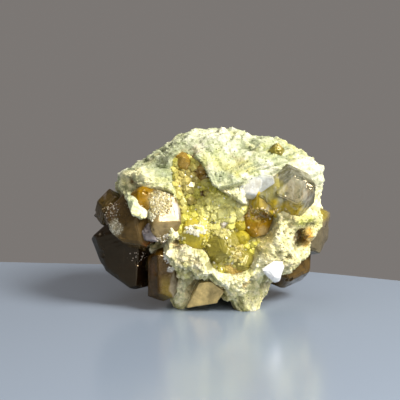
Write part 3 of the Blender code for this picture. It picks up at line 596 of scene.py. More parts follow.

# Patches of colour on the crystals, some of them painted highlights, reflections and shade: name,
# centre, radii, colour, strength, plateau.
CRYSTAL_STAINS = [
    ("olive front of the foot", (-8.6, -12.6, 5.4), (2.4, 5.0, 4.6), (0.27, 0.19, 0.02), 0.9, 0.3),
    ("orange heart of it", (-12.2, -12.0, 9.6), (1.6, 5.0, 2.6), (0.20, 0.08, 0.01), 0.8, 0.2),
    # painted reflection on the grey edge, and painted highlight on the white edge above it
    ("grey edge of it", (-7.8, -12.0, 6.4), (0.85, 4.0, 3.6), (0.46, 0.40, 0.28), 0.95, 0.6),
    ("white edge above it", (-8.1, -12.0, 10.0), (1.4, 4.0, 0.5), (0.85, 0.83, 0.78), 0.95, 0.5),
    # painted reflection of the sky on the far left crystal's top
    ("lilac top at the far left", (-22.3, -6.0, 24.0), (1.4, 5.0, 1.3), (0.34, 0.30, 0.30), 0.8, 0.4),
    ("golden foot at the right", (12.0, -12.0, 21.8), (9.0, 6.0, 2.9), GLASS, 0.95, 0.6),
    ("grey top at the right", (16.4, -11.0, 28.4), (3.4, 4.0, 2.0), (0.34, 0.34, 0.24), 0.85, 0.4),
    ("olive middle", (13.6, -12.0, 26.2), (1.6, 5.0, 2.4), (0.52, 0.46, 0.12), 0.9, 0.4),
    ("mottled patch", (-19.6, -10.5, 18.1), (2.2, 4.0, 2.0), (0.52, 0.46, 0.30), 0.8, 0.3),
    ("rusty crevice", (-12.4, -11.0, 14.6), (2.0, 5.0, 0.9), (0.20, 0.06, 0.01), 0.8, 0.4),
    ("tan crust", (-11.2, -14.0, 23.8), (2.6, 5.0, 3.4), (0.50, 0.40, 0.20), 0.9, 0.5),
    # painted shade in the recess between the crystals
    ("dark recess", (11.0, -10.0, 20.8), (1.7, 6.0, 1.5), (0.16, 0.05, 0.01), 0.9, 0.4),
    ("olive and pink", (10.8, -11.0, 16.8), (1.8, 6.0, 1.8), (0.40, 0.30, 0.14), 0.8, 0.4),
    ("pinkish side at the right", (19.2, -10.0, 25.0), (1.8, 5.0, 2.4), (0.50, 0.40, 0.28), 0.8, 0.4),
    # painted highlight: the facet where the key light glances off, painted near white
    ("bright facet", (-6.7, -14.0, 22.0), (1.5, 5.0, 2.1), (0.80, 0.78, 0.74), 0.9, 0.5),
    ("white stain", (5.6, -10.0, 27.0), (1.2, 5.0, 1.6), (0.66, 0.64, 0.5), 0.6, 0.3),
    ("yellow edge", (23.0, -2.0, 19.6), (2.4, 5.0, 2.6), (0.46, 0.36, 0.05), 0.9, 0.4),
    ("rusty foot, lower right", (13.0, -2.0, 5.6), (2.0, 5.0, 1.6), (0.24, 0.09, 0.02), 0.8, 0.4),
]
# Bits that stick on them, some pale ones as painted glints and highlights: node, centre, radii, how
# many, sizes, colour.
LEFT, FOOT = "garnets_upper_left", "garnet_left_foot"
BITS = [
    (LEFT, (-10.4, -14.0, 23.8), (2.8, 6.0, 3.0), 1100, (0.10, 0.30), (0.52, 0.43, 0.19)),
    (LEFT, (-12.8, -13.0, 21.0), (1.8, 6.0, 1.2), 240, (0.10, 0.26), (0.76, 0.70, 0.46)),
    (LEFT, (-19.6, -10.5, 18.1), (2.0, 6.0, 1.8), 200, (0.05, 0.15), (0.62, 0.58, 0.44)),
    (LEFT, (-9.4, -14.5, 16.2), (2.8, 6.0, 1.2), 70, (0.08, 0.26), (0.62, 0.56, 0.44)),
    (LEFT, (-16.0, -13.0, 22.6), (3.0, 6.0, 1.4), 90, (0.06, 0.20), (0.50, 0.40, 0.24)),
    (LEFT, (-20.4, -9.0, 21.4), (2.4, 6.0, 2.6), 240, (0.05, 0.18), (0.12, 0.06, 0.02)),
    # painted highlight: white bits where the foot crystal's top and edge catch the light
    (FOOT, (-9.1, -13.0, 12.4), (0.9, 6.0, 1.5), 120, (0.10, 0.28), (0.86, 0.85, 0.82)),
    (FOOT, (-8.1, -13.0, 10.0), (1.2, 6.0, 0.5), 60, (0.08, 0.20), (0.86, 0.84, 0.78)),
    # painted glints: pale flakes on the lower left crystal's front
    ("garnet_lower_left", (-15.2, -10.0, 11.9), (3.0, 6.0, 1.6), 26, (0.05, 0.14), (0.62, 0.50, 0.42)),
    ("garnets_upper_right", (10.0, -12.0, 21.8), (6.0, 6.0, 1.0), 120, (0.10, 0.26), (0.60, 0.42, 0.12)),
]

BEVEL_FACES = 1.115  # distance of the bevels between the rhombs, as a share of the rhombs'
CRUST_BEVEL = 1.065  # the same for the hollow's crystals, which are rounder
# One row for each crystal, as in the part: centre, face distance, the way one rhomb looks, the
# crystal's axis in that rhomb, the share of the face distance it keeps, and the seed of the small
# differences between the others. The last value is the colour.
GARNETS = {
    "garnet_lower_left": [
        ((-18.6, -5.0, 11.0), 7.0, (-0.22, -0.96, -0.06), (0.78, -0.1, -0.62), 0.5, None, DARK),
    ],
    "garnets_upper_left": [
        ((-20.4, -2.0, 20.2), 3.5, (0.39, -0.88, 0.29), (0.18, -0.23, -0.96), 0.976, 4, UMBER),
        ((-16.0, -6.4, 18.5), 5.7, (-0.26, -0.96, -0.06), (-0.63, 0.22, -0.75), 1.04, 10, SMOKE),
        ((-9.6, -10.8, 20.4), 5.4, (-0.44, -0.89, -0.11), (-0.11, -0.07, 0.99), 1.09, 1, TAWNY),
        ((-13.8, -9.6, 23.6), 2.6, (0.2, -0.98, 0.1), (0.8, 0.16, 0.58), 0.9, 5, AMBER),
        # tinted lilac as a painted reflection of the sky
        ((-12.4, -11.6, 17.2), 1.9, (0.0, -0.97, -0.2), (0.6, 0.1, 0.7), 1.0, 7, LILAC),
    ],
    "garnet_left_foot": [
        ((-9.8, -9.6, 8.2), 4.8, (0.15, -0.99, 0.03), (0.81, 0.12, 0.58), 1.0, 12, BROWN),
    ],
    "garnets_upper_right": [
        ((16.4, -8.6, 25.2), 4.3, (0.15, -0.95, 0.25), (-0.2, 0.2, 1.0), 0.95, 6, STREAKED),
        # bluish tint: painted reflection of the sky on these facets
        ((10.9, -9.6, 26.0), 2.6, (-0.3, -0.9, 0.3), (-0.5, 0.2, 0.9), 0.7, 4, BLUISH),
        ((7.9, -9.6, 26.4), 2.4, (0.0, -0.95, 0.3), (-0.4, 0.2, 0.9), 0.7, 9, BLUISH),
        ((13.2, -9.4, 24.4), 3.4, (-0.2, -0.95, 0.2), (0.0, 0.1, 1.0), 1.0, 7, FIBROUS),
        ((10.6, -9.2, 22.8), 2.9, (0.0, -0.95, 0.2), (0.8, 0.1, 0.5), 1.0, 3, GLASS),
    ],
    "garnet_right_edge": [
        ((19.4, 1.4, 15.6), 4.9, (0.15, -0.98, -0.12), (0.84, 0.06, 0.53), 1.04, 5, GREYISH),
    ],
    "garnet_lower_right": [
        ((15.2, 1.4, 9.6), 5.5, (-0.32, -0.93, 0.18), (-0.8, 0.16, -0.58), 1.0, 4, SMOKE),
    ],
    "garnet_underside": [
        ((-1.0, -9.6, 4.8), 5.4, (0.0, -0.95, -0.25), (0.35, 0.1, 1.0), 0.5, None, PINK),
    ],
    "garnet_small_top": [
        ((13.4, -5.2, 33.2), 1.3, (0.2, -0.8, 0.5), (1.0, 0.2, 0.0), 1.0, 2, OLIVE),
    ],
    "garnet_back_upper": [
        ((-7.5, 10.5, 23.0), 5.6, (-0.2, 0.95, 0.2), (0.3, 0.1, 1.0), 0.9, 3, DARK),
    ],
    "garnets_back_middle": [
        ((6.0, 11.4, 14.4), 4.6, (0.3, 0.9, 0.1), (0.9, -0.3, 0.2), 0.95, 9, BROWN),
        ((11.4, 10.8, 18.4), 3.6, (0.5, 0.8, 0.2), (0.2, -0.2, 0.9), 1.0, 11, BROWN),
    ],
    "garnet_back_left": [
        ((-14.6, 7.6, 13.4), 4.2, (-0.7, 0.7, 0.0), (0.1, 0.1, 1.0), 1.0, 2, BROWN),
    ],
    "garnet_back_top": [
        ((10.8, 11.4, 27.4), 3.5, (0.3, 0.7, 0.6), (0.9, -0.3, 0.0), 1.0, 6, BROWN),
    ],
}
CRUST_GARNETS = [
    ((2.3, -9.8, 13.6), 3.6, (-0.5, -0.8, 0.3), (0.4, -0.1, 0.9), 1.0, 3, OLIVE),
    ((-3.6, -10.2, 16.6), 2.9, (-0.1, -0.7, 0.7), (0.6, 0.3, 0.3), 1.0, 5, HONEY),
    ((5.9, -10.4, 11.2), 2.4, (0.1, -0.8, 0.5), (0.9, 0.3, 0.1), 1.0, 6, OLIVE),
    ((8.9, -7.9, 18.6), 3.0, (-0.15, -0.99, 0.1), (0.95, 0.0, 0.25), 1.0, 2, AMBER),
    ((6.0, -9.4, 18.4), 1.3, (0.3, -0.9, 0.3), (0.1, 0.3, 1.0), 1.0, 8, HONEY),
    ((6.2, -9.4, 16.0), 1.6, (-0.3, -0.9, 0.3), (0.1, 0.3, 1.0), 1.0, 9, HONEY),
    ((-5.9, -6.0, 31.2), 1.7, (0.2, -0.9, -0.3), (1.0, 0.2, 0.3), 0.9, 1, RESIN),
]
# Extra flat faces of the crystals that grew least evenly: the way each looks, its distance.
EXTRA_FACES = {
    ("garnets_upper_left", 1): [
        ((-0.67, -0.10, -0.73), 4.4),
        ((-0.55, -0.62, 0.55), 4.8),
    ],
    ("garnet_underside", 0): [
        ((-0.90, 0.0, 0.43), 2.4),
        ((-0.07, 0.0, 1.0), 2.4),
        ((0.63, 0.0, 0.78), 2.5),
        ((0.88, 0.0, -0.48), 2.9),
        ((0.17, 0.0, -0.99), 2.5),
        ((0.0, 1.0, 0.0), 5.0),
    ],
    ("garnet_left_foot", 0): [
        ((0.15, -0.99, 0.03), 2.9),
        ((-0.78, -0.62, 0.0), 2.8),
        ((0.93, -0.36, 0.0), 2.8),
        ((-0.93, 0.36, 0.0), 3.0),
    ],
    ("garnet_lower_left", 0): [
        ((-0.72, 0.25, 0.69), 6.8),
        ((-0.93, 0.10, -0.36), 4.3),
        ((-0.85, 0.10, -0.52), 4.05),
        ((-0.55, 0.05, -0.84), 3.95),
        ((0.20, -0.20, -0.98), 7.1),
        ((-0.75, -0.60, -0.25), 4.35),
        ((-0.55, -0.65, -0.52), 4.3),
        ((0.80, -0.60, -0.10), 5.4),
    ],
    ("garnets_upper_left", 2): [
        ((0.35, -0.85, -0.40), 3.1),
        ((0.36, -0.80, 0.48), 2.3),
        ((0.08, -0.67, 0.74), 3.3),
        ((-0.35, -0.75, 0.50), 3.2),
        ((0.90, 0.10, -0.35), 3.4),
        ((0.64, -0.10, -0.77), 3.9),
        ((-0.78, -0.10, -0.62), 4.0),
        ((-1.00, -0.30, 0.10), 3.2),
        ((0.96, -0.10, 0.28), 3.2),
        ((0.30, 0.10, 0.95), 4.6),
    ],
}
FACE_CELL, CRUST_CELL = 0.28, 0.32  # spacing of the grid on a crystal's faces
STEP_WIDTH, STEP_RISE = 1.0, 0.035  # growth steps, counted inwards from a face's edges
EDGE_ROUND, EDGE_WIDTH = 0.07, 0.22
CHIP_DEPTH, CHIP_SIZE = 0.45, 1.5


def family(kind):
    """Unit normals of all faces of one kind: its three numbers with all signs and orders."""
    orders = [(0, 1, 2), (0, 2, 1), (1, 0, 2), (1, 2, 0), (2, 0, 1), (2, 1, 0)]
    signs = np.array([(x, y, z) for x in (1, -1) for y in (1, -1) for z in (1, -1)])
    every = [np.array(kind)[list(order)] * signs for order in orders]
    every = np.unique(np.concatenate(every), axis=0)
    return every / np.linalg.norm(every, axis=1, keepdims=True)


RHOMBS = family((1, 1, 0))
TRAPEZOIDS = family((2, 1, 1))


def unit(vector):
    """The same direction, with length 1."""
    vector = np.asarray(vector, dtype=float)
    return vector / np.linalg.norm(vector)


def turn(face, axis):
    """The rotation that looks one rhomb along face and lays the crystal's axis in it along axis."""
    face, axis = unit(face), np.array(axis, dtype=float)
    axis = unit(axis - face * axis.dot(face))
    own_face, own_axis = unit((1, 1, 0)), np.array((0.0, 0.0, 1.0))
    own = np.stack([own_face, own_axis, np.cross(own_face, own_axis)], axis=1)
    aim = np.stack([face, axis, np.cross(face, axis)], axis=1)
    return aim @ own.T


def garnet_planes(size, face, axis, front, seed, extra=(), bevel=BEVEL_FACES):
    """Normals and distances of a garnet's faces: rhombs, bevels and any extra ones."""
    uneven = np.ones(len(RHOMBS))
    if seed is not None:
        chance = random.Random(seed)
        uneven = np.array([chance.uniform(0.93, 1.05) for _ in RHOMBS])
    uneven = np.where(RHOMBS @ np.array((1, 1, 0)) > 1.4, front, uneven)
    normals = np.concatenate([RHOMBS, TRAPEZOIDS]) @ turn(face, axis).T
    distances = np.concatenate([size * uneven, np.full(len(TRAPEZOIDS), size * bevel)])
    for way, distance in extra:
        normals = np.concatenate([normals, unit(way)[None]])
        distances = np.append(distances, distance)
    return normals, distances


def clipped(polygon, normal, distance):
    """What a plane leaves of a flat polygon: corners behind it, and where its edges cross it."""
    over = polygon @ normal - distance
    over_next = np.roll(over, -1)
    crosses = (over > 0) != (over_next > 0)
    share = over / np.where(crosses, over - over_next, 1.0)
    crossing = polygon + (share * crosses)[:, None] * (np.roll(polygon, -1, axis=0) - polygon)
    points = np.stack([polygon, crossing], axis=1)
    return points[np.stack([over <= 0, crosses], axis=1)]


def facets(normals, distances):
    """The flat faces of the convex body behind all the planes, as (normal, corners)."""
    found = []
    for i, normal in enumerate(normals):
        aside = unit(np.cross(normal, (0.3, 0.5, 0.8)))
        up = np.cross(normal, aside)
        reach = 4 * distances.max()
        square = np.array([aside + up, up - aside, -aside - up, aside - up]) * reach
        polygon = square + normal * distances[i]
        for j in range(len(normals)):
            if j != i and len(polygon):
                polygon = clipped(polygon, normals[j], distances[j])
        if len(polygon):
            apart = np.linalg.norm(polygon - np.roll(polygon, 1, axis=0), axis=1)
            polygon = polygon[apart > 0.02]
        if len(polygon) > 2:
            found.append((normal, polygon))
    return found


def facet_grid(normal, corners, cell):
    """Points of one face and their distance from its rim.

    A point is the face's middle plus a share of the way to a point of the rim.
    """
    middle = corners.mean(axis=0)
    rim = []
    for a, b in zip(corners, np.roll(corners, -1, axis=0)):
        count = max(1, int(np.ceil(np.linalg.norm(b - a) / cell - 1e-6)))
        rim.append(a + (np.arange(count) / count)[:, None] * (b - a))
    rim = np.concatenate(rim)
    rings = max(2, int(np.ceil(np.linalg.norm(corners - middle, axis=1).max() / cell)))
    shares = np.arange(1, rings + 1) / rings
    grid = middle + shares[:, None, None] * (rim - middle)
    edges = np.roll(corners, -1, axis=0) - corners
    inward = np.cross(normal, edges)
    inward /= np.linalg.norm(inward, axis=1, keepdims=True)
    inward *= np.sign(np.einsum("ij,ij->i", middle - corners, inward))[:, None]
    points = np.concatenate([grid.reshape(-1, 3), middle[None]])
    away = np.einsum("pej,ej->pe", points[:, None] - corners[None], inward).min(axis=1)
    return points, np.maximum(away, 0.0), rings, len(rim)


def reshaped(points, normal, rise, sunk):
    """Points of a face, moved out along its normal and then towards the crystal's centre."""
    away = points / np.linalg.norm(points, axis=1, keepdims=True)
    return points + normal * rise[:, None] - away * sunk[:, None]


def crystal(
    centre, size, face, axis, front, seed, tint, extra=(), cell=FACE_CELL, bevel=BEVEL_FACES
):
    """A garnet's surface: flat faces with growth steps, softened edges and a few chips.

    A face rises by one step for each STEP_WIDTH inwards from its edges. Edges and chips move
    towards the crystal's centre, by a depth that is the same for every face that shares the edge.
    """
    parts = []
    for normal, corners in facets(*garnet_planes(size, face, axis, front, seed, extra, bevel)):
        points, away, rings, columns = facet_grid(normal, corners, cell)
        place = points + centre
        stairs = (away + 0.25 * noise(place, 2.2, 811)) / STEP_WIDTH
        stairs = np.floor(stairs) + smoothstep(0.0, 0.25, stairs - np.floor(stairs))
        rise = STEP_RISE * np.clip(stairs, 0, 4) + 0.03 * noise(place, 1.1, 821)
        rise *= smoothstep(0.0, 0.3, away)
        chip = smoothstep(0.42, 0.75, noise(place, CHIP_SIZE, 831)) * np.exp(-away / 0.45)
        soft = EDGE_ROUND * np.maximum(1 - away / EDGE_WIDTH, 0) ** 2
        points = reshaped(points, normal, rise, soft + CHIP_DEPTH * chip) + centre
        parts.append((points, face_triangles(rings, columns), np.tile(tint, (len(points), 1))))
    points, triangles, colours = joined(parts)
    near = points + 0.6 * noise_vectors(points, 1.4, 841)
    return points, triangles, stained(colours, near, CRYSTAL_STAINS)


def face_triangles(rings, columns):
    """Triangles of closed rings of points round a middle, which comes after them."""
    j = np.arange(columns)
    fan = np.stack([np.full(columns, rings * columns), j, (j + 1) % columns], axis=-1)
    return np.concatenate([band_triangles(rings, columns), fan])


def small_crystal(*kinds):
    """Corners and triangles of a small perfect crystal. A kind is its normals and distance."""
    normals = np.concatenate([normal for normal, _ in kinds])
    distances = np.concatenate([np.full(len(normal), distance) for normal, distance in kinds])
    points, triangles, start = [], [], 0
    for normal, corners in facets(normals, distances):
        k = np.arange(1, len(corners) - 1)
        turned = np.cross(corners[1] - corners[0], corners[2] - corners[0]) @ normal < 0
        fan = np.stack([np.zeros_like(k), k + turned, k + 1 - turned], axis=-1)
        points.append(corners)
        triangles.append(fan + start)
        start += len(corners)
    points, triangles = np.concatenate(points), np.concatenate(triangles)
    _, first, same = np.unique(points.round(4), axis=0, return_index=True, return_inverse=True)
    return points[first], same.ravel()[triangles]


PLAIN_CRYSTAL = small_crystal((RHOMBS, 1.0))
RICH_CRYSTAL = small_crystal((RHOMBS, 1.0), (TRAPEZOIDS, BEVEL_FACES))

# ---------------------------------------------------------------- crust of the hollow
CRUST_RINGS, CRUST_COLUMNS = 40, 128
CRUST_REACH = 15.0  # a circle round the crust's middle that holds its outline
# Small crystals on the large ones: centre, radii, how many, sizes, colour.
OVERGROWTH = [
    # painted highlight: pale crystals along the white diagonal
    ((-3.2, -13.0, 18.0), (2.6, 6.0, 1.0), 90, (0.14, 0.40), (0.84, 0.80, 0.62)),
    ((-1.0, -13.0, 15.8), (1.4, 6.0, 2.6), 60, (0.14, 0.40), (0.62, 0.55, 0.12)),
    ((2.0, -13.0, 17.2), (2.8, 6.0, 1.2), 90, (0.14, 0.45), (0.64, 0.58, 0.20)),
    ((5.2, -13.0, 13.4), (1.8, 6.0, 2.2), 90, (0.14, 0.45), (0.60, 0.50, 0.14)),
    ((2.4, -13.0, 9.8), (3.4, 6.0, 1.4), 70, (0.12, 0.36), (0.62, 0.44, 0.14)),
    ((8.2, -11.0, 20.8), (3.0, 6.0, 1.2), 60, (0.12, 0.34), (0.50, 0.30, 0.05)),
    ((-1.4, -12.0, 18.6), (3.0, 6.0, 1.0), 70, (0.16, 0.50), (0.76, 0.70, 0.20)),
    ((-6.2, -12.0, 16.4), (1.0, 6.0, 2.4), 40, (0.16, 0.40), (0.66, 0.60, 0.10)),
    ((3.6, -13.0, 11.0), (3.6, 6.0, 1.6), 70, (0.14, 0.40), (0.62, 0.56, 0.16)),
]
CRUST_TINT = (0.66, 0.61, 0.11)
# Colour zones of the hollow, some of them painted light and some painted shade: name, centre and radii
# as (x, z), colour, strength.
ZONES = [
    ("golden top", (-5.2, 27.8), (3.0, 3.8), (0.54, 0.45, 0.15), 0.9),
    # painted shadow under the lip of the roof
    ("brown under the lip", (-2.0, 28.6), (1.6, 2.6), (0.34, 0.18, 0.03), 0.9),
    # the druse's own pale colour, raised further as painted light against the lip's shade
    ("pale middle", (2.2, 21.0), (5.4, 3.8), (0.90, 0.86, 0.34), 0.9),
    ("dark cluster", (-4.0, 22.9), (0.9, 0.9), (0.12, 0.05, 0.03), 0.9),
    ("dark cluster, upper", (-1.6, 24.9), (0.9, 0.8), (0.14, 0.06, 0.03), 0.9),
    # painted reflection of the sky on glossy crystals
    ("lilac cluster", (2.7, 18.6), (1.5, 0.9), (0.72, 0.66, 0.66), 0.9),
    # painted highlight along the top of the olive mass
    ("white diagonal", (-3.4, 17.8), (2.6, 1.0), (0.90, 0.86, 0.74), 0.9),
    ("vivid olive", (-3.8, 15.8), (3.4, 2.2), (0.50, 0.46, 0.05), 0.9),
    ("olive", (2.3, 13.6), (3.6, 3.8), (0.47, 0.42, 0.12), 0.8),
    ("orange grains", (5.7, 10.2), (3.2, 2.6), (0.62, 0.38, 0.11), 0.8),
    ("amber", (8.6, 18.6), (2.8, 3.2), (0.60, 0.32, 0.04), 0.8),
    # painted shade in the recess
    ("red recess", (11.4, 20.8), (1.9, 1.7), (0.20, 0.06, 0.02), 0.9),
    ("olive and pink", (10.4, 16.6), (2.0, 2.4), (0.50, 0.42, 0.24), 0.8),
    ("pale column", (6.1, 17.4), (1.2, 2.8), (0.82, 0.74, 0.32), 0.9),
    ("cream tongue", (5.7, 23.8), (2.2, 1.8), (0.84, 0.80, 0.50), 0.9),
    # painted shade in the gap between the crystals
    ("black gap", (0.5, 19.2), (0.7, 0.7), (0.02, 0.015, 0.01), 0.95),
]
# Small crystals: how many, the range of face distance, and how much of it stands out.
DRUSE = [(150, (0.55, 0.95), 0.8), (800, (0.28, 0.55), 0.9), (2200, (0.12, 0.28), 0.9)]
RICH_SIZE = 0.5  # small crystals above this size have bevels
# painted glints: white crystals that stand for sparkles of light
SPARKS = (240, (0.07, 0.24))  # white crystals over all of them: how many, sizes
# painted shade: the plate darkened between the crystals
PLATE_SHADE = 0.8  # how dark the plate is between the crystals


def crust_front(x, z):
    """Depth of the crust's face: the hollow's floor with bumps of three sizes."""
    level = hollow_level(x, z)
    return level + 0.3 * rough(np.stack([x, np.zeros_like(x), z], axis=-1), 2.6, 301)


def in_front(points):
    """1 for points of the crust that look out of the hollow, and 0 for its back."""
    return (points[:, 1] < crust_front(points[:, 0], points[:, 2]) - 0.1).astype(float)


def zone_colours(x, z, grain):
    """Colour of the crust: its own tint, then each zone in turn with an uneven border."""
    place = np.stack([x, np.zeros_like(x), z], axis=-1)
    x, z = x + 0.5 * noise(place, 1.5, 861), z + 0.5 * noise(place, 1.5, 871)
    colours = np.broadcast_to(np.array(CRUST_TINT), place.shape)
    colours = blend(colours, (0.80, 0.72, 0.26), 0.6 * smoothstep(-0.2, 0.7, rough(place, 2.0, 881)))
    for _, (at_x, at_z), (wide, high), colour, strength in ZONES:
        away = np.hypot((x - at_x) / wide, (z - at_z) / high)
        colours = blend(colours, colour, strength * (1 - smoothstep(0.55, 1.1, away)))
    return colours * (1.0 + 0.22 * grain)[..., None]


def crust_plate():
    """The crust's plate: rings of points round its middle on the back, then on the bumpy face."""
    around = np.arange(CRUST_COLUMNS) * 2 * np.pi / CRUST_COLUMNS
    rim = polar_outline(CRUST_OUTLINE, CRUST_MIDDLE, around)
    shares = np.arange(1, CRUST_RINGS + 1) / CRUST_RINGS
    reach = shares[:, None] * rim
    x = CRUST_MIDDLE[0] + reach * np.cos(around)
    z = CRUST_MIDDLE[1] + reach * np.sin(around)
    back = np.stack([x, hollow_level(x, z) + CRUST_THICK, z], axis=-1)
    face = np.stack([x, crust_front(x, z), z], axis=-1)
    rings = np.concatenate([back, face[::-1]])
    depths = back[0, :, 1].mean(), face[0, :, 1].mean()
    middles = [(CRUST_MIDDLE[0], depth, CRUST_MIDDLE[1]) for depth in depths]
    points = np.concatenate([rings.reshape(-1, 3), middles])
    triangles = ring_triangles(len(rings), CRUST_COLUMNS)
    colours = PLATE_SHADE * zone_colours(points[:, 0], points[:, 2], np.zeros(len(points)))
    return points, facing_out(points, triangles), colours


def druse(chance, count, sizes, stands):
    """Small garnets of one range of sizes, spread over the plate and partly sunk in its face."""
    angle = chance.uniform(-np.pi, np.pi, 3 * count)
    reach = CRUST_REACH * np.sqrt(chance.uniform(0, 1, 3 * count))
    size = chance.uniform(*sizes, 3 * count)
    rim = polar_outline(CRUST_OUTLINE, CRUST_MIDDLE, angle)
    kept = np.flatnonzero(reach < rim - 0.5 * size)[:count]
    angle, reach, size = angle[kept], reach[kept], size[kept]
    x = CRUST_MIDDLE[0] + reach * np.cos(angle)
    z = CRUST_MIDDLE[1] + reach * np.sin(angle)
    y = crust_front(x, z) - (stands - 0.5) * size
    tints = zone_colours(x, z, chance.uniform(-1, 1, len(x)))
    body = RICH_CRYSTAL if sizes[0] > RICH_SIZE else PLAIN_CRYSTAL
    return scattered(chance, len(x), *body, np.stack([x, y, z], axis=-1), size, tints, 0.0)


def crust():
    """The crust: its plate, small garnets, large ones with smaller ones on them, and white sparks as
    painted glints.
    """
    chance = np.random.default_rng(11)
    parts = [crust_plate()] + [druse(chance, *row) for row in DRUSE]
    large = joined([crystal(*row, cell=CRUST_CELL, bevel=CRUST_BEVEL) for row in CRUST_GARNETS])
    parts.append(large)
    small = {"body": PLAIN_CRYSTAL, "uneven": 0.0}
    for centre, radii, count, sizes, tint in OVERGROWTH:
        wanted = falloff_of(centre, radii)
        parts.append(strewn(chance, large, wanted, count, sizes, tint, 0.3, **small))
    # white sparks as painted glints over the whole crust
    parts.append(strewn(chance, joined(parts), in_front, *SPARKS, WHITE, 0.1, **small))
    return joined(parts)


# ---------------------------------------------------------------- calcite
CALCITE_MIDDLE = (12.7, -13.7, 9.7)
CALCITE_RADII = (1.5, 2.1, 2.6)
CALCITE_TINT = (0.84, 0.83, 0.78)
CALCITE_FACES, CALCITE_CELL, CALCITE_STEP = 16, 0.22, 0.6


def calcite():
    """The grain of calcite: flat faces that nearly touch an ellipsoid, with cleavage steps."""
    chance = random.Random(4)
    normals, distances = [], []
    for _ in range(CALCITE_FACES):
        way = unit([chance.gauss(0, 1) for _ in range(3)])
        reach = float(np.linalg.norm(way * np.array(CALCITE_RADII)))
        normals.append(way)
        distances.append(reach * chance.uniform(0.85, 1.0))
    parts = []
    for normal, corners in facets(np.array(normals), np.array(distances)):
        points, away, rings, columns = facet_grid(normal, corners, CALCITE_CELL)
        steps = np.floor((away + 0.4 * noise(points, 1.4, 911)) / CALCITE_STEP)
        rise = 0.05 * np.clip(steps, 0, 3) * smoothstep(0.0, 0.15, away)
        soft = 0.12 * np.maximum(1 - away / 0.35, 0) ** 2 + 0.1 * (1 + noise(points, 0.9, 921))
        points = reshaped(points, normal, rise, soft) + CALCITE_MIDDLE
        tints = np.tile(CALCITE_TINT, (len(points), 1))
        parts.append((points, face_triangles(rings, columns), tints))
    return joined(parts)


# ---------------------------------------------------------------- pieces
WELD_REACH = 0.002


def piece(name, shape, finish, nodes, sharp=None, merge=False):
    """An object of this shape, which rides on the one body and stands for the nodes.

    Edges steeper than the angle sharp stay sharp. With 0, every face is flat.
    """
    points, triangles, colours = shape
    triangles = np.ascontiguousarray(facing_out(points, triangles))
    mesh = bpy.data.meshes.new(name)
    mesh.vertices.add(len(points))
    mesh.vertices.foreach_set("co", ((points + SHIFT) * MM).ravel())
    mesh.loops.add(triangles.size)
    mesh.loops.foreach_set("vertex_index", triangles.ravel())
    mesh.polygons.add(len(triangles))
    mesh.polygons.foreach_set("loop_start", np.arange(0, triangles.size, 3))
    tint = mesh.color_attributes.new("tint", "FLOAT_COLOR", "POINT")
    tint.data.foreach_set("color", np.column_stack([colours, np.ones(len(points))]).ravel())
    mesh.update(calc_edges=True)
    mesh.validate()
    if merge:
        weld(mesh)
    mesh.polygons.foreach_set("use_smooth", np.full(len(mesh.polygons), sharp != 0))
    if sharp:
        mesh.set_sharp_from_angle(angle=np.radians(sharp))
    mesh.materials.append(finish)
    made = bpy.data.objects.new(name, mesh)
    bpy.context.scene.collection.objects.link(made)
    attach(made, "root")
    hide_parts(*nodes)


def weld(mesh):
    """Join the points that faces share, so that the surface is closed."""
    bm = bmesh.new()
    bm.from_mesh(mesh)
    bmesh.ops.remove_doubles(bm, verts=bm.verts[:], dist=WELD_REACH * MM)
    bmesh.ops.recalc_face_normals(bm, faces=bm.faces[:])
    bm.to_mesh(mesh)
    bm.free()


# ---------------------------------------------------------------- finishes
class Value:
    """A socket's number. Sums and products of it add Math nodes to its finish."""

    def __init__(self, finish, socket):
        self.finish, self.socket = finish, socket

    def math(self, operation, first, second):
        """One Math node, with each input a value or a plain number."""
        return self.finish.node("ShaderNodeMath", {"operation": operation}, {0: first, 1: second})

    def __add__(self, other):
        return self.math("ADD", self, other)

    def __radd__(self, other):
        return self.math("ADD", other, self)

    def __mul__(self, other):
        return self.math("MULTIPLY", self, other)

    def __rmul__(self, other):
        return self.math("MULTIPLY", other, self)


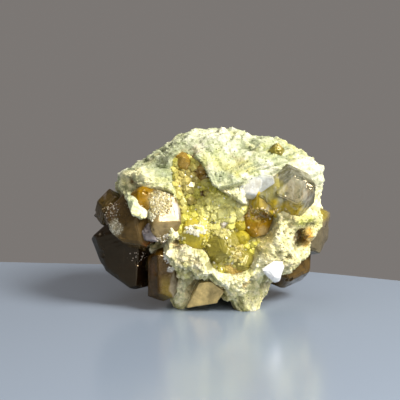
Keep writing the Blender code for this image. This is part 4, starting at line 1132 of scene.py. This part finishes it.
class Finish:
    """A material under construction, with one Principled shader."""

    def __init__(self, name):
        self.material = bpy.data.materials.new(name)
        self.material.use_nodes = True
        self.tree = self.material.node_tree
        self.shader = self.tree.nodes["Principled BSDF"]
        self.output = self.tree.nodes["Material Output"]

    def node(self, kind, settings, values, out=0):
        """A node with its settings, then the values or links of its sockets."""
        made = self.tree.nodes.new(kind)
        for key, setting in settings.items():
            if key == "stops":
                ramp = made.color_ramp.elements
                while len(ramp) < len(setting):
                    ramp.new(0.5)
                for stop, (at, colour) in zip(ramp, setting):
                    stop.position, stop.color = at, colour
            else:
                setattr(made, key, setting)
        for key, value in values.items():
            self.feed(made.inputs[key], value)
        return Value(self, made.outputs[out])

    def feed(self, socket, value):
        """Link a value to a socket, or set a plain number or colour on it."""
        if isinstance(value, Value):
            self.tree.links.new(value.socket, socket)
        else:
            socket.default_value = value

    def set(self, **sockets):
        """Feed the shader's sockets, named with _ for a space."""
        for key, value in sockets.items():
            self.feed(self.shader.inputs[key.replace("_", " ")], value)

    def place(self):
        """The place on the object, in metres."""
        return self.node("ShaderNodeTexCoord", {}, {}, out="Object")

    def tint(self):
        """The colour that the piece's mesh carries."""
        return self.node("ShaderNodeAttribute", {"attribute_name": "tint"}, {}, out="Color")

    def noise(self, size, detail=3.0, rough=0.5):
        """Noise from 0 to 1 whose bumps are about one size across, in millimetres."""
        values = {"Vector": self.place(), "Scale": 1.0 / (size * MM), "Detail": detail}
        return self.node("ShaderNodeTexNoise", {}, {**values, "Roughness": rough})

    def streaks(self, size):
        """Noise drawn out six times its size along a slanting direction."""
        turned = (0.0, 0.9, 0.3)
        values = {"Vector": self.place(), "Rotation": turned, "Scale": (1.0, 1.0, 1 / 6)}
        drawn = self.node("ShaderNodeMapping", {}, values)
        values = {"Vector": drawn, "Scale": 1.0 / (size * MM), "Detail": 3.0, "Roughness": 0.6}
        return self.node("ShaderNodeTexNoise", {}, values)

    def cells(self, size):
        """Distance from the nearest of scattered spots, one in each cell of a size, in sizes."""
        values = {"Vector": self.place(), "Scale": 1.0 / (size * MM)}
        return self.node("ShaderNodeTexVoronoi", {}, values, out="Distance")

    def mix(self, factor, first, second, way="MIX"):
        """Two colours mixed, or combined in another way."""
        settings = {"data_type": "RGBA", "blend_type": way}
        return self.node("ShaderNodeMix", settings, {0: factor, 6: first, 7: second}, out=2)

    def ramp(self, value, *stops):
        """A colour for a value, between stops that each have a place and a colour."""
        return self.node("ShaderNodeValToRGB", {"stops": stops}, {0: value})

    def bump(self, height, distance, strength):
        """A normal for a height from 0 to 1 that stands for a distance in millimetres."""
        values = {"Height": height, "Distance": distance * MM, "Strength": strength}
        return self.node("ShaderNodeBump", {}, values, out="Normal")


def grey(value):
    """A grey as a colour socket takes it."""
    return (value, value, value, 1.0)


def skarn(name):
    """Crumbly rock: its tint times specks, spots and warm blotches, rough with a grainy bump."""
    f = Finish(name)
    speck = f.noise(0.22, 4.0, 0.7)
    blotch = f.noise(0.9, 3.0, 0.6)
    shade = f.ramp(speck, (0.30, grey(0.60)), (0.46, grey(0.95)), (0.7, grey(1.15)))
    spots = f.ramp(blotch, (0.34, grey(0.72)), (0.52, grey(1.0)))
    colour = f.mix(1.0, f.mix(1.0, f.tint(), shade, "MULTIPLY"), spots, "MULTIPLY")
    warm = f.ramp(blotch, (0.35, (0.86, 0.90, 0.72, 1)), (0.6, (1.04, 1.02, 1.02, 1)))
    f.set(Base_Color=f.mix(1.0, colour, warm, "MULTIPLY"))
    f.set(Roughness=f.ramp(f.cells(0.5), (0.1, grey(0.35)), (0.45, grey(0.85))))
    f.set(Specular_IOR_Level=0.35)
    grain = f.noise(0.35, 5.0, 0.65) + 0.7 * f.cells(0.45)
    f.set(Normal=f.bump(grain, 0.16, 0.8))
    return f.material


def druse_finish(name):
    """Small honey garnets: their tint, partly see-through, glossy with a few dull faces."""
    f = Finish(name)
    cloud = f.noise(0.7, 3.0, 0.6)
    shade = f.ramp(cloud, (0.3, grey(0.72)), (0.7, grey(1.15)))
    f.set(Base_Color=f.mix(1.0, f.tint(), shade, "MULTIPLY"))
    f.set(Roughness=f.ramp(f.noise(0.5), (0.35, grey(0.06)), (0.75, grey(0.35))))
    f.set(Transmission_Weight=0.15, IOR=1.74, Specular_IOR_Level=0.4)
    f.set(Specular_Tint=(1.0, 0.93, 0.62, 1.0))
    f.set(Normal=f.bump(f.noise(0.25, 3.0), 0.03, 0.6))
    return f.material


def garnet_finish(name, clear, absorbed, density, shine, streaks=0.0):
    """A big garnet: its tint, partly clear with absorption inside, cloudy, with growth marks.

    Streaks are how strongly pale lines, all in one direction, lighten it.
    """
    f = Finish(name)
    cloud = f.noise(1.5, 4.0, 0.65)
    shade = f.ramp(cloud, (0.3, grey(0.55)), (0.7, grey(1.25)))
    colour = f.mix(1.0, f.tint(), shade, "MULTIPLY")
    if streaks:
        lines = f.ramp(f.streaks(1.1), (0.48, grey(0.0)), (0.62, grey(streaks)))
        colour = f.mix(lines, colour, (0.60, 0.60, 0.50, 1.0))
    f.set(Base_Color=colour)
    dull = f.ramp(f.noise(1.2, 4.0, 0.6), (0.35, grey(0.05)), (0.7, grey(0.28)))
    f.set(Roughness=dull)
    f.set(Transmission_Weight=clear, IOR=1.74, Specular_IOR_Level=shine)
    f.set(Specular_Tint=(1.0, 0.78, 0.50, 1.0))
    marks = f.noise(0.5, 4.0, 0.6) + 0.4 * f.cells(0.9)
    f.set(Normal=f.bump(marks, 0.03, 0.5))
    inside = {"Color": (*absorbed, 1.0), "Density": density}
    volume = f.node("ShaderNodeVolumeAbsorption", {}, inside)
    f.tree.links.new(volume.socket, f.output.inputs["Volume"])
    return f.material


def bits_finish(name):
    """Bits of rock and broken crystal on the garnets, with pale ones as painted glints and highlights:
    their tint, some glossy, some dull.
    """
    f = Finish(name)
    f.set(Base_Color=f.tint(), Specular_IOR_Level=0.6)
    f.set(Roughness=f.ramp(f.noise(0.4), (0.4, grey(0.12)), (0.6, grey(0.7))))
    return f.material


def calcite_finish(name):
    """White calcite: pearly, a little see-through, with cleavage lines."""
    f = Finish(name)
    f.set(Base_Color=f.mix(1.0, f.tint(), f.ramp(f.noise(0.8), (0.3, grey(0.85)), (0.6, grey(1)))))
    f.set(Roughness=0.25, Transmission_Weight=0.12, IOR=1.6)
    f.set(Normal=f.bump(f.noise(0.4, 3.0), 0.05, 0.5))
    return f.material


# ---------------------------------------------------------------- the specimen
block_shape = block()
rock = skarn("skarn")
piece("skarn_block", block_shape, rock, ["matrix"])
piece("skarn_crumbs", crumbs(block_shape), rock, ["matrix"], sharp=0)
crust_look = druse_finish("honey garnet crust")
piece("honey_crust", crust(), crust_look, ["cavity_crust"], sharp=0)

bit_look = bits_finish("bits on the crystals")
FINISHES = {
    "dark_garnet": garnet_finish("dark garnet", 0.5, (0.45, 0.20, 0.06), 500.0, 0.2),
    "brown_garnet": garnet_finish("brown garnet", 0.35, (0.70, 0.44, 0.12), 160.0, 0.16),
    "amber_garnet": garnet_finish("amber garnet", 0.5, (0.85, 0.48, 0.08), 160.0, 0.2),
    "pale_garnet": garnet_finish("pale garnet", 0.5, (0.96, 0.90, 0.60), 60.0, 0.35, 0.6),
    "tan_garnet": garnet_finish("tan garnet", 0.1, (0.85, 0.68, 0.42), 120.0, 0.35),
}
SLOTS = {row["node"]: row["material_slot"] for row in frame["record"]["subparts"]}
for node, rows in GARNETS.items():
    slot = SLOTS[node]
    faces = [crystal(*row, extra=EXTRA_FACES.get((node, k), ())) for k, row in enumerate(rows)]
    shape = joined(faces)
    piece(f"{node}_faces", shape, FINISHES[slot], [node], sharp=22, merge=True)
    bits = []
    for k, (on, centre, radii, count, sizes, tint) in enumerate(BITS):
        if on == node:
            chance, wanted = np.random.default_rng(40 + k), falloff_of(centre, radii)
            bits.append(strewn(chance, shape, wanted, count, sizes, tint, 0.7))
    if bits:
        piece(f"{node}_bits", joined(bits), bit_look, [node], sharp=0)
white = calcite_finish("white calcite")
piece("calcite_grain", calcite(), white, ["calcite_crystal"], sharp=25, merge=True)

# ---------------------------------------------------------------- floor, light and camera
TARGET = np.array([-2.394, -0.415, 21.3])  # what the camera looks at, in frame millimetres
ELEVATION, DISTANCE = np.radians(9.0), 350.0
LIGHT_TARGET = Vector((0.0, 0.0, 20 * MM))
FLOOR_THICK = 12
# The floor's far edge runs askew and bends behind the piece, from right to left.
FAR_EDGE = [(900, -460), (42, 19), (29, 26), (22, 29.4), (10, 32.4), (-2, 34.7), (-14, 36.4)]
FAR_EDGE += [(-28, 38.3), (-49, 40.7), (-900, 132)]


def floor():
    """A plain slab with its top at zero and a bent far edge."""
    corners = [(-900, -900), (900, -900), *FAR_EDGE]
    count = len(corners)
    points = [(x * MM, y * MM, z * MM) for z in (0, -FLOOR_THICK) for x, y in corners]
    ends = [range(count), range(2 * count - 1, count - 1, -1)]
    sides = [(k, count + k, count + (k + 1) % count, (k + 1) % count) for k in range(count)]
    mesh = bpy.data.meshes.new("floor")
    mesh.from_pydata(points, [], [*ends, *sides])
    f = Finish("pale satin")
    f.set(Base_Color=(0.255, 0.31, 0.395, 1.0), Roughness=0.2, Specular_IOR_Level=0.8)
    mesh.materials.append(f.material)
    made = bpy.data.objects.new("floor", mesh)
    bpy.context.scene.collection.objects.link(made)


def light(name, way, distance, size, power, colour):
    """A square soft light, at a distance along a way from the specimen, aimed at it."""
    lamp = bpy.data.lights.new(name, "AREA")
    lamp.shape, lamp.size, lamp.energy, lamp.color = "SQUARE", size, power, colour
    made = bpy.data.objects.new(name, lamp)
    way = Vector(way).normalized()
    made.location = LIGHT_TARGET + way * distance
    made.rotation_euler = way.to_track_quat("Z", "Y").to_euler()
    bpy.context.scene.collection.objects.link(made)


def background():
    """An even warm grey all round."""
    world = bpy.data.worlds.new("studio")
    world.use_nodes = True
    world.node_tree.nodes["Background"].inputs["Color"].default_value = (0.20, 0.185, 0.175, 1.0)
    world.node_tree.nodes["Background"].inputs["Strength"].default_value = 1.0
    bpy.context.scene.world = world


def camera():
    """A long lens, a little above the specimen and aimed at its middle, with a level horizon."""
    back = np.array([0.0, -np.cos(ELEVATION), np.sin(ELEVATION)])
    data = bpy.data.cameras.new("camera")
    data.sensor_width, data.lens = 36.0, 150.5
    data.clip_start = 0.01
    made = bpy.data.objects.new("camera", data)
    made.location = Vector((TARGET + DISTANCE * back) * MM)
    made.rotation_euler = Vector(back).to_track_quat("Z", "Y").to_euler()
    bpy.context.scene.collection.objects.link(made)
    bpy.context.scene.camera = made


floor()
light("key", (0.60, -0.46, 0.68), 0.5, 0.20, 4.7, (1.0, 0.97, 0.90))
light("front fill", (0.15, -0.95, 0.35), 0.7, 0.4, 1.5, (1.0, 0.98, 0.94))
light("ceiling", (-0.1, 0.1, 1.0), 0.6, 0.4, 0.6, (1.0, 1.0, 1.0))
background()
camera()
bpy.context.scene.view_settings.view_transform = "Standard"
